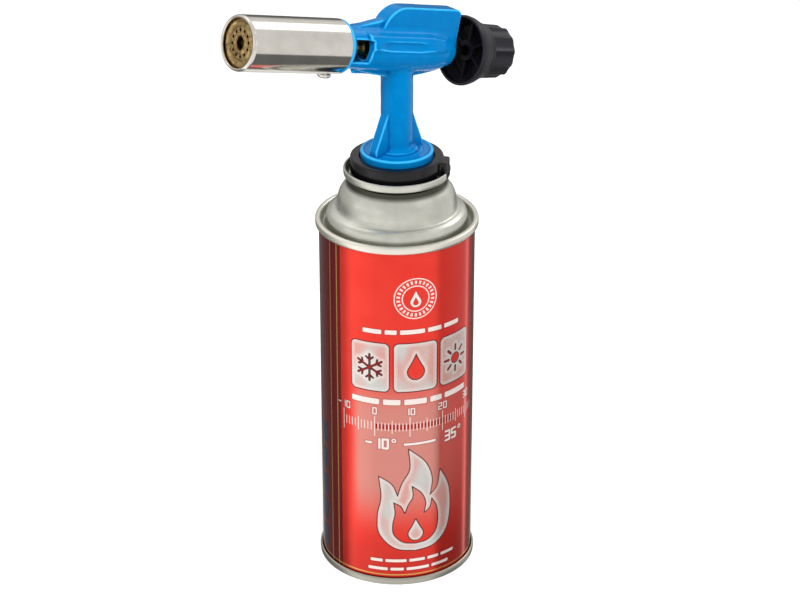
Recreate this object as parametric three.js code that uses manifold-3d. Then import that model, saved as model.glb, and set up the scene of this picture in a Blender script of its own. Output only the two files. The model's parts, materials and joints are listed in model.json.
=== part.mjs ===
// Hand torch on a nozzle-type gas cartridge: a 220 g can with its bayonet collar and sprung valve, and the torch
// head that stands in the collar, with the needle valve, jet, mixing tube, burner head and flame tube.
// Millimetres, +Z up. The flame points to -X and 14.4 degrees up. The frame's origin lies on the standing plane,
// under the middle of the overall length.

import * as THREE from 'three';
import { mergeVertices } from 'three/addons/utils/BufferGeometryUtils.js';
import Module from 'manifold-3d';

const wasm = await Module();
wasm.setup();

// Driving dimensions of the cartridge
const CAN_R = 32.75;
const CAN_WALL = 0.3;
const SEAM_R = 34.24;
const SEAM_TOP = 161.0;
const SEAM_HEIGHT = 3.2;
const SHEET = 0.4;
const SHOULDER_TOP = 179.2;
const COLLAR_R = 22.3;
const COLLAR_TOP = 183.2;
const COLLAR_FLOOR = 180.1;
const NOTCH_ANGLE = THREE.MathUtils.degToRad(-50);
const NOTCH_WIDTH = 9.6;
const STEM_R = 1.9;
const STEM_TOP = 183.3;

// Driving dimensions of the torch head. In the head's own frame X runs along the flame tube towards the flame,
// Z is square to it in the head's upright plane, and the origin is where the tube's axis meets the can's.
const AXIS_HEIGHT = 234.69;
const TILT = THREE.MathUtils.degToRad(14.4);
const TUBE_R = 11.1;
const TUBE_WALL = 0.5;
const TUBE_BACK = 32.3;
const TUBE_MOUTH = 81.5;
const TUBE_SCREW_AT = 35.5;
const NECK_R = 8.8;
const BARREL_R = 10.2;
const BARREL_UNDER_R = 9.4;
const BARREL_FRONT = 22.0;
const BODY_REAR = -28.0;
const FIN_TOP = 17.8;
const FIN_THICK = 7.8;
const RIB_THICK = 4.6;
const STEM_POST_R = 6.63;
const FOOT_R = 15.2;
const FOOT_BOTTOM = 186.5;
const FOOT_TOP = 191.0;
const RING_R = 19.4;
const RING_TOP = 188.2;
const RING_BOTTOM = 180.7;
const LUG_R = 21.6;
const LUG_WIDTH = 8.6;
const RING_SCREW_PCD = 20.0;
const RING_SCREW_ANGLES = [Math.PI / 2, -Math.PI / 2];
const KNOB_SKIRT_R = 14.6;
const KNOB_GRIP_R = 11.0;
const KNOB_FRONT = -34.5;
const KNOB_END = -56.4;
const KNOB_END_CHAMFER = 1.0;
// Floor of the recess in the knob's end, where its screw's head lies
const KNOB_RECESS = KNOB_END + 1.8;
const KNOB_FLUTES = 12;
const SPINDLE_R = 1.9;
const BLOCK_R = 4.9;
const CHAMBER_R = 6.2;
// Where the upright gas tube meets the underside of the valve block, back along the tube's axis
const INLET_AT = -BLOCK_R * Math.tan(TILT);
const PORTS = 12;

// Round pieces get as many sides as their size asks for
const CAN_SIDES = 36;
const LARGE_SIDES = 32;
const MEDIUM_SIDES = 24;
const SMALL_SIDES = 16;
const FINE_SIDES = 12;

// ---- helpers ----

const degrees = THREE.MathUtils.degToRad;

function v2(points) {
  return points.map(([x, y]) => new THREE.Vector2(x, y));
}

// A solid of revolution about Z. The profile is a list of [radius, height]; it starts and ends on the axis, or it
// is closed here into a ring. It is put in the order that makes the faces point out.
function turned(profile, sides) {
  const onAxis = profile[0][0] === 0;
  const area = THREE.ShapeUtils.area(v2(profile));
  const ordered = area < 0 ? [...profile].reverse() : [...profile];
  if (!onAxis) ordered.push(ordered[0]);
  return new THREE.LatheGeometry(v2(ordered), sides).rotateX(Math.PI / 2);
}

// The same about X, for pieces that lie along the flame tube: the profile is a list of [radius, place along X].
function turnedAlongX(profile, sides) {
  return turned(profile, sides).rotateY(Math.PI / 2);
}

// A plate in the upright plane: the outline is [x, z], and the thickness is centred on Y.
function uprightPlate(outline, thickness) {
  const shape = new THREE.Shape(v2(outline));
  const made = new THREE.ExtrudeGeometry(shape, { depth: thickness, bevelEnabled: false, curveSegments: 12 });
  return made.rotateX(Math.PI / 2).translate(0, thickness / 2, 0);
}

// A bar along X with the section [y, z], from x0 to x1.
function barAlongX(section, x0, x1) {
  const shape = new THREE.Shape(v2(section));
  const made = new THREE.ExtrudeGeometry(shape, { depth: x1 - x0, bevelEnabled: false });
  const basis = new THREE.Matrix4().makeBasis(
    new THREE.Vector3(0, 1, 0),
    new THREE.Vector3(0, 0, 1),
    new THREE.Vector3(1, 0, 0),
  );
  return made.applyMatrix4(basis).translate(x0, 0, 0);
}

function box(x0, x1, y0, y1, z0, z1) {
  const made = new THREE.BoxGeometry(x1 - x0, y1 - y0, z1 - z0);
  return made.translate((x0 + x1) / 2, (y0 + y1) / 2, (z0 + z1) / 2);
}

function cylinderAlongZ(radius, z0, z1, sides = SMALL_SIDES) {
  return turned([[0, z0], [radius, z0], [radius, z1], [0, z1]], sides);
}

function cylinderAlongX(radius, x0, x1, sides = SMALL_SIDES) {
  return turnedAlongX([[0, x0], [radius, x0], [radius, x1], [0, x1]], sides);
}

// A closed geometry as a solid that can be joined and cut.
function solid(geometry) {
  const bare = new THREE.BufferGeometry();
  const source = geometry.index ? geometry.toNonIndexed() : geometry;
  bare.setAttribute('position', source.getAttribute('position'));
  const merged = mergeVertices(bare, 1e-4);
  return new wasm.Manifold(
    new wasm.Mesh({
      numProp: 3,
      vertProperties: new Float32Array(merged.attributes.position.array),
      triVerts: new Uint32Array(merged.index.array),
    }),
  );
}

function geometryOf(manifold) {
  const mesh = manifold.getMesh();
  const made = new THREE.BufferGeometry();
  made.setAttribute('position', new THREE.BufferAttribute(new Float32Array(mesh.vertProperties), 3));
  made.setIndex(new THREE.BufferAttribute(new Uint32Array(mesh.triVerts), 1));
  made.computeVertexNormals();
  return made;
}

function joined(...geometries) {
  return geometries.map(solid).reduce((whole, next) => whole.add(next));
}

function cut(whole, ...geometries) {
  return geometries.map(solid).reduce((rest, tool) => rest.subtract(tool), whole);
}

function part(name, geometry, material) {
  const mesh = new THREE.Mesh(geometry, material.clone());
  mesh.name = name;
  return mesh;
}

// ---- materials ----

function finish(color, roughness, metalness) {
  return new THREE.MeshStandardMaterial({ color, roughness, metalness });
}

const TINPLATE = finish(0xbdbcb4, 0.35, 0.9);
const RED_LACQUER = finish(0xd8342a, 0.25, 0.4);
const BLUE_PAINT = finish(0x0080cc, 0.22, 0.0);
const BLACK_PLASTIC = finish(0x232229, 0.4, 0.0);
const CHROME = finish(0xd6d4cf, 0.08, 1.0);
const BRASS = finish(0xb8923c, 0.3, 1.0);
const RUBBER = finish(0x1c1c1c, 0.8, 0.0);
const NYLON = finish(0xe8e6dc, 0.5, 0.0);
const STEEL = finish(0xb4b4b4, 0.3, 1.0);
const SINTER = finish(0xa88440, 0.8, 0.8);

// ---- cartridge ----

// The lacquered cylinder. Each end stands in the open channel of a seam ring.
function canBody() {
  const inner = CAN_R - CAN_WALL;
  const top = SEAM_TOP - 1.4;
  return part('can_body', turned([[CAN_R, 1.4], [CAN_R, top], [inner, top], [inner, 1.4]], CAN_SIDES), RED_LACQUER);
}

// The pressed bottom: a dome that rises inwards, with the seam ring that the can stands on.
function canBase() {
  const seam = SEAM_R - 0.3;
  const profile = [
    [0, 9.9],
    [14, 9.2],
    [26, 6.2],
    [31.4, 3.2],
    [31.8, 0.8],
    [32.4, 0],
    [33.4, 0],
    [seam, 0.8],
    [seam, SEAM_HEIGHT - 0.4],
    [seam - 0.3, SEAM_HEIGHT],
    [CAN_R + 0.35, SEAM_HEIGHT],
    [CAN_R + 0.3, 1.0],
    [CAN_R - CAN_WALL - 0.15, 1.0],
    [CAN_R - CAN_WALL - 0.15, 3.4],
    [26.2, 6.7],
    [14.1, 9.7],
    [0, 10.4],
  ];
  return part('can_base', turned(profile, CAN_SIDES), TINPLATE);
}

// The pressed shoulder: seam ring, deep groove, low roll, concave step and the high dome up to the valve opening.
function canTop() {
  const outside = [
    [13.2, SHOULDER_TOP - 0.2],
    [13.4, 180.1],
    [14.3, 180.35],
    [15.2, 180.0],
    [16.0, SHOULDER_TOP],
    [19.5, SHOULDER_TOP],
    [20.6, 178.4],
    [21.1, 176.2],
    [22.8, 174.2],
    [24.6, 170.4],
    [25.15, 166.8],
    [25.9, 165.4],
    [27.4, 164.7],
    [28.8, 163.6],
    [29.55, 161.6],
    [29.8, 158.4],
    [30.5, 157.4],
    [31.3, 157.8],
    [31.7, 160.2],
    [32.3, SEAM_TOP - 0.2],
    [33.3, SEAM_TOP],
    [34.0, SEAM_TOP - 0.4],
    [SEAM_R, SEAM_TOP - 1.1],
    [SEAM_R, SEAM_TOP - SEAM_HEIGHT + 0.4],
    [SEAM_R - 0.3, SEAM_TOP - SEAM_HEIGHT],
    [CAN_R + 0.35, SEAM_TOP - SEAM_HEIGHT],
  ];
  const inside = [
    [CAN_R + 0.3, SEAM_TOP - 0.9],
    [CAN_R - CAN_WALL - 0.15, SEAM_TOP - 0.9],
    [31.8, 157.2],
    [30.5, 156.6],
    [29.3, 158.0],
    [28.4, 163.1],
    [25.4, 164.7],
    [24.5, 167.0],
    [22.3, 173.7],
    [20.6, 175.8],
    [19.3, SHOULDER_TOP - SHEET - 0.1],
    [13.2, SHOULDER_TOP - SHEET - 0.1],
  ];
  return part('can_top', turned([...outside, ...inside], CAN_SIDES), TINPLATE);
}

// The valve cup: centre pedestal, well, rim over the shoulder's opening, flat flange and the curled collar. One
// notch in the collar locates the torch.
function mountingCup() {
  const sheet = 0.5;
  const profile = [
    [2.3, 179.3],
    [2.3, 179.8],
    [4.9, 179.5],
    [5.2, 173.2],
    [12.1, 173.6],
    [12.2, 180.9],
    [13.0, 181.45],
    [15.4, 181.45],
    [17.0, COLLAR_FLOOR],
    [20.9, COLLAR_FLOOR],
    [20.9, COLLAR_TOP - 0.5],
    [21.4, COLLAR_TOP],
    [22.0, COLLAR_TOP - 0.1],
    [COLLAR_R, COLLAR_TOP - 0.8],
    [COLLAR_R, 180.8],
    [21.8, 179.8],
    [20.9, COLLAR_FLOOR - sheet],
    [16.6, COLLAR_FLOOR - sheet],
    [15.3, 180.95],
    [13.1, 180.95],
    [12.7, 180.6],
    [12.6, 173.0],
    [4.7, 172.7],
    [4.5, 179.1],
  ];
  const notch = box(19.9, 24, -NOTCH_WIDTH / 2, NOTCH_WIDTH / 2, 179, 184).rotateZ(NOTCH_ANGLE);
  return part('mounting_cup', geometryOf(cut(solid(turned(profile, LARGE_SIDES)), notch)), TINPLATE);
}

function cupGasket() {
  const profile = [[13.4, 180.45], [15.0, 180.45], [15.0, 180.85], [13.4, 180.85]];
  return part('cup_gasket', turned(profile, MEDIUM_SIDES), RUBBER);
}

// Valve housing: a cup clinched inside the pedestal, open at the top, with a bottom socket for the vapour tube.
function valveHousing() {
  const profile = [
    [2.75, 169.5],
    [2.75, 178.0],
    [4.2, 178.0],
    [4.2, 169.0],
    [3.2, 167.4],
    [2.6, 167.0],
    [2.6, 163.4],
    [1.7, 163.4],
    [1.7, 166.6],
    [0.9, 166.8],
    [0.9, 169.5],
  ];
  return part('cartridge_valve_housing', turned(profile, SMALL_SIDES), NYLON);
}

function valveGasket() {
  const profile = [[2.1, 178.1], [4.1, 178.1], [4.1, 178.95], [2.1, 178.95]];
  return part('cartridge_valve_gasket', turned(profile, SMALL_SIDES), RUBBER);
}

// The sprung stem. Its shoulder closes the valve against the gasket, and its bore leads up to the open top.
function valveStem() {
  const profile = [
    [0, 173.4],
    [0.9, 173.4],
    [0.9, 176.8],
    [2.4, 176.8],
    [2.4, 177.9],
    [STEM_R, 178.0],
    [STEM_R, STEM_TOP - 0.4],
    [STEM_R - 0.4, STEM_TOP],
    [0.7, STEM_TOP],
    [0.7, 178.6],
    [0, 178.6],
  ];
  return part('cartridge_valve_stem', turned(profile, SMALL_SIDES), NYLON);
}

// A round wire along a curve, with both ends closed.
function wire(curve, radius, sides, steps, hole = 0) {
  const section = new THREE.Shape();
  section.absarc(0, 0, radius, 0, 2 * Math.PI);
  if (hole > 0) {
    const bore = new THREE.Path();
    bore.absarc(0, 0, hole, 0, 2 * Math.PI);
    section.holes.push(bore);
  }
  return new THREE.ExtrudeGeometry(section, { extrudePath: curve, steps, curveSegments: sides, bevelEnabled: false });
}

class Helix extends THREE.Curve {
  constructor(radius, z0, z1, turns) {
    super();
    this.radius = radius;
    this.z0 = z0;
    this.z1 = z1;
    this.turns = turns;
  }
  getPoint(t) {
    const angle = 2 * Math.PI * this.turns * t;
    const x = this.radius * Math.cos(angle);
    const y = this.radius * Math.sin(angle);
    return new THREE.Vector3(x, y, THREE.MathUtils.lerp(this.z0, this.z1, t));
  }
}

function valveSpring() {
  const curve = new Helix(1.75, 169.95, 176.35, 5);
  return part('cartridge_valve_spring', wire(curve, 0.28, 3, 50), STEEL);
}

// The bent tube that takes vapour from under the shoulder, on the notch's side.
function vapourTube() {
  const reach = (r, z) => new THREE.Vector3(r * Math.cos(NOTCH_ANGLE), r * Math.sin(NOTCH_ANGLE), z);
  const path = [reach(0, 166.3), reach(0, 159), reach(3, 154), reach(11, 151.5), reach(21, 153)];
  const curve = new THREE.CatmullRomCurve3(path);
  return part('vapour_tube', wire(curve, 1.5, 5, 14, 0.85), NYLON);
}

// ---- torch body ----

// The fin above the barrel: flat top, chamfered rear corner and a round front that runs down into the barrel.
function fin() {
  const front = new THREE.EllipseCurve(1, 6.4, 11.2, FIN_TOP - 6.4, Math.PI / 2, 0, true).getPoints(9);
  const outline = [[BODY_REAR, 4], [BODY_REAR, FIN_TOP - 1.4], [BODY_REAR + 2, FIN_TOP]];
  front.forEach((p) => outline.push([p.x, p.y]));
  outline.push([12.2, 4]);
  return uprightPlate(outline, FIN_THICK);
}

// The web from the fin down to the top of the neck.
function neckWeb() {
  return uprightPlate([[6, 5], [24.4, 5], [24.4, 8.7], [22.6, 9.2], [10.7, 12.2], [6, 13]], RIB_THICK);
}

// The keel under the barrel: a shallow arc, deepest at the post.
function keel() {
  const outline = [[22.0, -6], [21.5, -8.4]];
  const arc = new THREE.QuadraticBezierCurve(
    new THREE.Vector2(20.5, -8.6),
    new THREE.Vector2(-2.0, -15.4),
    new THREE.Vector2(-24.6, -7.0),
  );
  arc.getPoints(10).forEach((p) => outline.push([p.x, p.y]));
  outline.push([-25, -4]);
  return uprightPlate(outline, RIB_THICK);
}

// The barrel holds the valve. Its section is round below, with two sloping shoulders beside the fin, and the whole
// tapers to the rear.
function barrel() {
  const taper = [
    [0, BARREL_FRONT],
    [BARREL_R - 0.3, BARREL_FRONT],
    [BARREL_R, BARREL_FRONT - 0.5],
    [BARREL_R, -12],
    [9.4, -17],
    [8.0, -21.6],
    [6.8, -25],
    [5.8, BODY_REAR + 0.5],
    [5.3, BODY_REAR],
    [0, BODY_REAR],
  ];
  const section = [[9.8, 1.8], [8.5, 6.0], [7.8, 6.7], [4, 7.5], [-4, 7.5], [-7.8, 6.7], [-8.5, 6.0], [-9.8, 1.8]];
  for (let angle = 176; angle <= 364; angle += 18.8) {
    section.push([BARREL_UNDER_R * Math.cos(degrees(angle)), BARREL_UNDER_R * Math.sin(degrees(angle))]);
  }
  return solid(turnedAlongX(taper, LARGE_SIDES)).intersect(solid(barAlongX(section, -30, 24)));
}

// The hollow flute along one side of the barrel.
function flute(side) {
  const radius = 3.6;
  const half = [[0, 16.5], [radius * 0.7, 15.2], [radius, 12.8]];
  const profile = [...half.map(([r, x]) => [r, -x]), ...half.reverse()];
  return turnedAlongX(profile, SMALL_SIDES).translate(0, side * 12.9, 3.9);
}

function neckAndSpigot() {
  const profile = [
    [0, 18],
    [NECK_R, 18],
    [NECK_R, 29.2],
    [9.5, 30.0],
    [TUBE_R - 0.2, 30.7],
    [TUBE_R - 0.2, TUBE_BACK - 0.3],
    [10.2, TUBE_BACK - 0.3],
    [10.2, 39.2],
    [9.8, 39.6],
    [0, 39.6],
  ];
  return turnedAlongX(profile, LARGE_SIDES);
}

// Bores of the barrel, from the flame end: mixing tube, air chamber, valve block and gland thread.
function bodyBores() {
  const profile = [
    [0, 41],
    [4.25, 41],
    [4.25, 28.8],
    [CHAMBER_R, 28.8],
    [CHAMBER_R, 17.8],
    [3.25, 17.8],
    [3.25, 15.2],
    [BLOCK_R + 0.2, 15.2],
    [BLOCK_R + 0.2, -12],
    [4.65, -12],
    [4.65, -30],
    [0, -30],
  ];
  return turnedAlongX(profile, MEDIUM_SIDES);
}

// The upright post with its foot disc, in the can's frame.
function postAndFoot() {
  const profile = [
    [0, FOOT_BOTTOM],
    [FOOT_R, FOOT_BOTTOM],
    [FOOT_R, FOOT_TOP - 0.8],
    [FOOT_R - 0.8, FOOT_TOP],
    [11, FOOT_TOP - 0.3],
    [8.6, FOOT_TOP + 0.4],
    [7.2, FOOT_TOP + 2.2],
    [STEM_POST_R, FOOT_TOP + 5],
    [STEM_POST_R, 228.5],
    [0, 228.5],
  ];
  return turned(profile, MEDIUM_SIDES);
}

// Two webs, in the upright plane, that flare from the post down to the foot.
function footWebs() {
  const front = [[-5.5, 208.5], [-6.2, 208.2], [-12.2, 193.6], [-12.6, 189]];
  const back = [[11.7, 189], [11.6, 193.0], [6.2, 207.4], [5.5, 208]];
  const outline = [...front, ...back];
  return uprightPlate(outline, RIB_THICK);
}

// Turns a geometry of the head's frame into the can's frame.
function headPlacement() {
  const turn = new THREE.Matrix4().makeRotationFromEuler(new THREE.Euler(0, TILT, Math.PI));
  return turn.premultiply(new THREE.Matrix4().makeTranslation(0, 0, AXIS_HEIGHT));
}

function torchBody() {
  const place = headPlacement();
  const inHead = (geometry) => solid(geometry.applyMatrix4(place));
  let body = barrel().add(joined(fin(), neckWeb(), keel(), neckAndSpigot()));
  for (const side of [-1, 1]) {
    body = cut(body, flute(side));
  }
  body = cut(body, bodyBores());
  body = cut(body, box(20, 28.3, -12, 12, -4.5, 4.6));
  body = cut(body, cylinderAlongZ(1.55, -12, -6, FINE_SIDES).translate(TUBE_SCREW_AT, 0, 0));
  const upper = solid(geometryOf(body).applyMatrix4(place));
  let lower = joined(postAndFoot(), footWebs());
  lower = lower.subtract(inHead(cylinderAlongX(BLOCK_R + 0.2, -12, 15, MEDIUM_SIDES)));
  let whole = upper.add(lower);
  whole = cut(whole, cylinderAlongZ(4.4, 180, 196, SMALL_SIDES), cylinderAlongZ(1.65, 190, 231, FINE_SIDES));
  for (const angle of RING_SCREW_ANGLES) {
    whole = cut(whole, cylinderAlongZ(1.35, 180, 190.2, FINE_SIDES).translate(...ringScrewPlace(angle)));
  }
  return part('torch_body', geometryOf(whole), BLUE_PAINT);
}

// ---- lock ring and gas inlet ----

function ringScrewPlace(angle) {
  return [(RING_SCREW_PCD / 2) * Math.cos(angle), (RING_SCREW_PCD / 2) * Math.sin(angle), 0];
}

function lockRing() {
  const profile = [
    [6.0, 184.9],
    [17.7, 184.9],
    [17.7, RING_BOTTOM],
    [RING_R - 0.3, RING_BOTTOM],
    [RING_R, RING_BOTTOM + 0.3],
    [RING_R, RING_TOP - 0.7],
    [RING_R - 0.7, RING_TOP],
    [FOOT_R + 0.7, RING_TOP],
    [FOOT_R + 0.3, RING_TOP - 0.4],
    [FOOT_R + 0.3, 186.2],
    [6.0, 186.2],
  ];
  const lug = box(RING_R - 1.0, LUG_R, -LUG_WIDTH / 2, LUG_WIDTH / 2, 180.9, RING_TOP - 0.8).rotateZ(NOTCH_ANGLE);
  let ring = joined(turned(profile, LARGE_SIDES), lug);
  for (const angle of RING_SCREW_ANGLES) {
    ring = cut(ring, cylinderAlongZ(1.45, 184, 187, FINE_SIDES).translate(...ringScrewPlace(angle)));
  }
  return part('lock_ring', geometryOf(ring), BLACK_PLASTIC);
}

// A pan-head screw driven up through the lock ring into the foot.
function ringScrew(index) {
  const profile = [
    [0, 183.3],
    [1.6, 183.3],
    [2.5, 184.0],
    [2.5, 184.75],
    [1.2, 184.75],
    [1.2, 189.4],
    [0, 190.0],
  ];
  const screw = part(`ring_screw_${index + 1}`, turned(profile, FINE_SIDES), STEEL);
  screw.position.set(...ringScrewPlace(RING_SCREW_ANGLES[index]));
  return screw;
}

function inletNipple() {
  const profile = [
    [2.6, 181.4],
    [4.8, 181.4],
    [5.3, 182.0],
    [5.3, 186.2],
    [4.2, 186.3],
    [4.2, 195.4],
    [1.65, 195.4],
    [1.65, 191.0],
    [0.9, 191.0],
    [0.9, 184.4],
    [2.6, 184.4],
  ];
  return part('inlet_nipple', turned(profile, SMALL_SIDES), BRASS);
}

function nippleSeal() {
  const profile = [[0.85, 183.65], [2.4, 183.65], [2.4, 184.25], [0.85, 184.25]];
  return part('nipple_seal', turned(profile, SMALL_SIDES), RUBBER);
}

function gasTube() {
  return part('gas_tube', turned([[0.9, 191.3], [1.45, 191.3], [1.45, 228.9], [0.9, 228.9]], FINE_SIDES), BRASS);
}

// ---- needle valve, jet and knob, in the head's frame ----

// The brass block: the jet screws into the front, the needle closes the orifice from behind, and gas comes in from
// below.
function valveBlock() {
  const profile = [
    [2.15, 17.4],
    [3.0, 17.4],
    [3.0, 14.9],
    [BLOCK_R, 14.9],
    [BLOCK_R, -10],
    [2.55, -10],
    [2.55, 1.6],
    [0.62, 3.0],
    [0.62, 8.2],
    [2.15, 8.2],
  ];
  const inlet = cylinderAlongZ(1.0, -6, 0, FINE_SIDES).translate(INLET_AT, 0, 0);
  return part('valve_block', geometryOf(cut(solid(turnedAlongX(profile, SMALL_SIDES)), inlet)), BRASS);
}

function gasJet() {
  const profile = [
    [1.25, 10.6],
    [1.95, 10.6],
    [1.95, 17.5],
    [2.95, 17.6],
    [2.95, 19.6],
    [2.4, 20.0],
    [2.1, 22.4],
    [1.2, 23.3],
    [0.25, 23.3],
    [0.25, 22.0],
    [1.25, 21.2],
  ];
  return part('gas_jet', turnedAlongX(profile, FINE_SIDES), BRASS);
}

function jetFilter() {
  return part('jet_filter', cylinderAlongX(1.1, 11.0, 13.2, FINE_SIDES), SINTER);
}

function valveSpindle() {
  const profile = [
    [0, 3.5],
    [0.3, 3.4],
    [0.52, 2.9],
    [1.3, 1.3],
    [SPINDLE_R, 0.4],
    [SPINDLE_R, -4.6],
    [2.35, -5.0],
    [2.35, -9.4],
    [SPINDLE_R, -9.8],
    [SPINDLE_R, -17.2],
    [1.35, -17.2],
    [1.35, -18.8],
    [SPINDLE_R, -18.8],
    [SPINDLE_R, KNOB_RECESS + 1.6],
    [0.95, KNOB_RECESS + 1.6],
    [0.95, KNOB_RECESS + 6.8],
    [0, KNOB_RECESS + 6.8],
  ];
  return part('valve_spindle', turnedAlongX(profile, SMALL_SIDES), BRASS);
}

function spindleORing() {
  const ring = new THREE.TorusGeometry(2.2, 0.7, 8, SMALL_SIDES).rotateY(Math.PI / 2).translate(-18, 0, 0);
  return part('spindle_o_ring', ring, RUBBER);
}

// The gland nut screws into the rear of the barrel; its hexagon stands behind the body.
function glandNut() {
  const profile = [
    [2.1, -13],
    [4.4, -13],
    [4.4, -28.3],
    [2.1, -28.3],
  ];
  const seat = [[0, -16], [3.1, -16], [3.1, -20.2], [0, -20.2]];
  const hexagon = turnedAlongX([[2.1, -28.2], [5.0, -28.2], [5.0, -31.2], [4.4, -31.8], [2.1, -31.8]], 6);
  const round = joined(turnedAlongX(profile, SMALL_SIDES), hexagon);
  const hollow = cut(round, turnedAlongX(seat, SMALL_SIDES), cylinderAlongX(2.1, -33, -12));
  return part('gland_nut', geometryOf(hollow), BRASS);
}

// The knob: a dished skirt over the gland nut, a plain collar and a fluted grip. Webs stiffen the skirt inside.
function controlKnob() {
  const profile = [
    [KNOB_SKIRT_R - 1.1, KNOB_FRONT],
    [KNOB_SKIRT_R - 0.3, KNOB_FRONT],
    [KNOB_SKIRT_R, KNOB_FRONT - 0.4],
    [KNOB_SKIRT_R, KNOB_FRONT - 1.6],
    [14.1, -38.0],
    [13.2, -40.0],
    [12.2, -41.6],
    [11.8, -42.6],
    [11.8, -43.8],
    [KNOB_GRIP_R + 0.6, -44.0],
    [KNOB_GRIP_R, KNOB_END + KNOB_END_CHAMFER],
    [KNOB_GRIP_R - KNOB_END_CHAMFER, KNOB_END],
    [3.3, KNOB_END],
    [3.3, KNOB_RECESS],
    [1.5, KNOB_RECESS],
    [1.5, KNOB_RECESS + 1.2],
    [2.1, KNOB_RECESS + 1.2],
    [2.1, -37.4],
    [4.4, -37.4],
    [4.4, -41.4],
    [10.6, -41.0],
    [12.1, -38.8],
    [13.2, -36.6],
  ];
  let knob = solid(turnedAlongX(profile, 36));
  for (let i = 0; i < 6; i += 1) {
    const web = box(-41.2, -38.4, 4.2, 12.0, -0.6, 0.6).rotateX(degrees(60 * i + 30));
    knob = knob.add(solid(web));
  }
  for (let i = 0; i < KNOB_FLUTES; i += 1) {
    const tool = cylinderAlongX(2.3, KNOB_END - 1, -44.9, 10).translate(0, 0, KNOB_GRIP_R + 1.5);
    knob = knob.subtract(solid(tool.rotateX(degrees((360 / KNOB_FLUTES) * i))));
  }
  return part('control_knob', geometryOf(knob), BLACK_PLASTIC);
}

function knobScrew() {
  const profile = [
    [0, KNOB_RECESS + 5.8],
    [0.8, KNOB_RECESS + 5.4],
    [0.8, KNOB_RECESS - 0.1],
    [2.4, KNOB_RECESS - 0.1],
    [2.4, KNOB_RECESS - 0.8],
    [1.5, KNOB_RECESS - 1.4],
    [0, KNOB_RECESS - 1.4],
  ];
  return part('knob_screw', turnedAlongX(profile, FINE_SIDES), STEEL);
}

// ---- burner ----

function mixingTube() {
  return part('mixing_tube', turnedAlongX([[3.5, 25.4], [4.0, 25.4], [4.0, 75.4], [3.5, 75.4]], MEDIUM_SIDES), BRASS);
}

// The burner head: a face with a raised centre port and a ring of small ports, over a chamber fed by the mixing
// tube.
function burnerHead() {
  const profile = [
    [2.85, 80.2],
    [3.9, 80.2],
    [4.2, 80.0],
    [6.2, 80.0],
    [6.8, 79.5],
    [8.3, 79.5],
    [8.8, 80.0],
    [9.4, 79.8],
    [10.3, 78.8],
    [10.3, 70.6],
    [4.2, 70.6],
    [4.2, 75.8],
    [6.4, 75.8],
    [6.4, 77.2],
    [2.85, 77.2],
  ];
  let head = solid(turnedAlongX(profile, MEDIUM_SIDES));
  for (let i = 0; i < PORTS; i += 1) {
    const port = cylinderAlongX(0.6, 76.5, 81, 6).translate(0, 0, 5.1);
    head = head.subtract(solid(port.rotateX(degrees((360 / PORTS) * (i + 0.5)))));
  }
  return part('burner_head', geometryOf(head), BRASS);
}

// The chromed flame tube: a thin wall with the mouth rolled inwards, and one hole below for its screw.
function burnerTube() {
  const inner = TUBE_R - TUBE_WALL;
  const profile = [
    [TUBE_R, TUBE_BACK],
    [TUBE_R, TUBE_MOUTH - 1.2],
    [TUBE_R - 0.2, TUBE_MOUTH - 0.5],
    [TUBE_R - 0.7, TUBE_MOUTH],
    [TUBE_R - 1.2, TUBE_MOUTH],
    [TUBE_R - 1.4, TUBE_MOUTH - 0.4],
    [TUBE_R - 1.3, TUBE_MOUTH - 0.8],
    [inner, TUBE_MOUTH - 1.6],
    [inner, TUBE_BACK],
  ];
  const hole = cylinderAlongZ(1.6, -12, -9, FINE_SIDES).translate(TUBE_SCREW_AT, 0, 0);
  return part('burner_tube', geometryOf(cut(solid(turnedAlongX(profile, LARGE_SIDES)), hole)), CHROME);
}

function tubeScrew() {
  const profile = [
    [0, -7.4],
    [1.35, -7.8],
    [1.35, -11.4],
    [2.8, -11.4],
    [2.8, -12.0],
    [2.0, -12.9],
    [0.9, -13.2],
    [0, -13.2],
  ];
  const screw = part('tube_screw', turned(profile, FINE_SIDES), CHROME);
  screw.position.x = TUBE_SCREW_AT;
  return screw;
}

// ---- assembly ----

function cartridge() {
  const group = new THREE.Group();
  group.add(canBody(), canBase(), canTop(), mountingCup(), cupGasket());
  group.add(valveHousing(), valveGasket(), valveStem(), valveSpring(), vapourTube());
  return group;
}

function headInternals() {
  const group = new THREE.Group();
  group.position.z = AXIS_HEIGHT;
  group.rotation.set(0, TILT, Math.PI);
  group.add(valveBlock(), gasJet(), jetFilter(), valveSpindle(), spindleORing(), glandNut());
  group.add(controlKnob(), knobScrew(), mixingTube(), burnerHead(), burnerTube(), tubeScrew());
  return group;
}

function torch() {
  const group = new THREE.Group();
  group.add(torchBody(), lockRing(), inletNipple(), nippleSeal(), gasTube(), headInternals());
  RING_SCREW_ANGLES.forEach((_, index) => group.add(ringScrew(index)));
  return group;
}

// The overall length runs from the lower lip of the mouth to the lower edge of the knob's end
const FLAME_END = -TUBE_MOUTH * Math.cos(TILT) - (TUBE_R - 0.7) * Math.sin(TILT);
const KNOB_END_X = -KNOB_END * Math.cos(TILT) + (KNOB_GRIP_R - KNOB_END_CHAMFER) * Math.sin(TILT);

const whole = new THREE.Group();
whole.add(cartridge(), torch());
whole.position.x = -(FLAME_END + KNOB_END_X) / 2;

const root = new THREE.Group();
root.add(whole);

export default root;
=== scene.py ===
"""Hand torch on a nozzle-type gas cartridge: the looks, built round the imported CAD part.

Shapes are drawn in millimetres, and `MM` turns them into the scene's metres. Material coordinates are metres.
"""

import json
import math

import bpy
import numpy as np
from mathutils import Matrix, Vector


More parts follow.
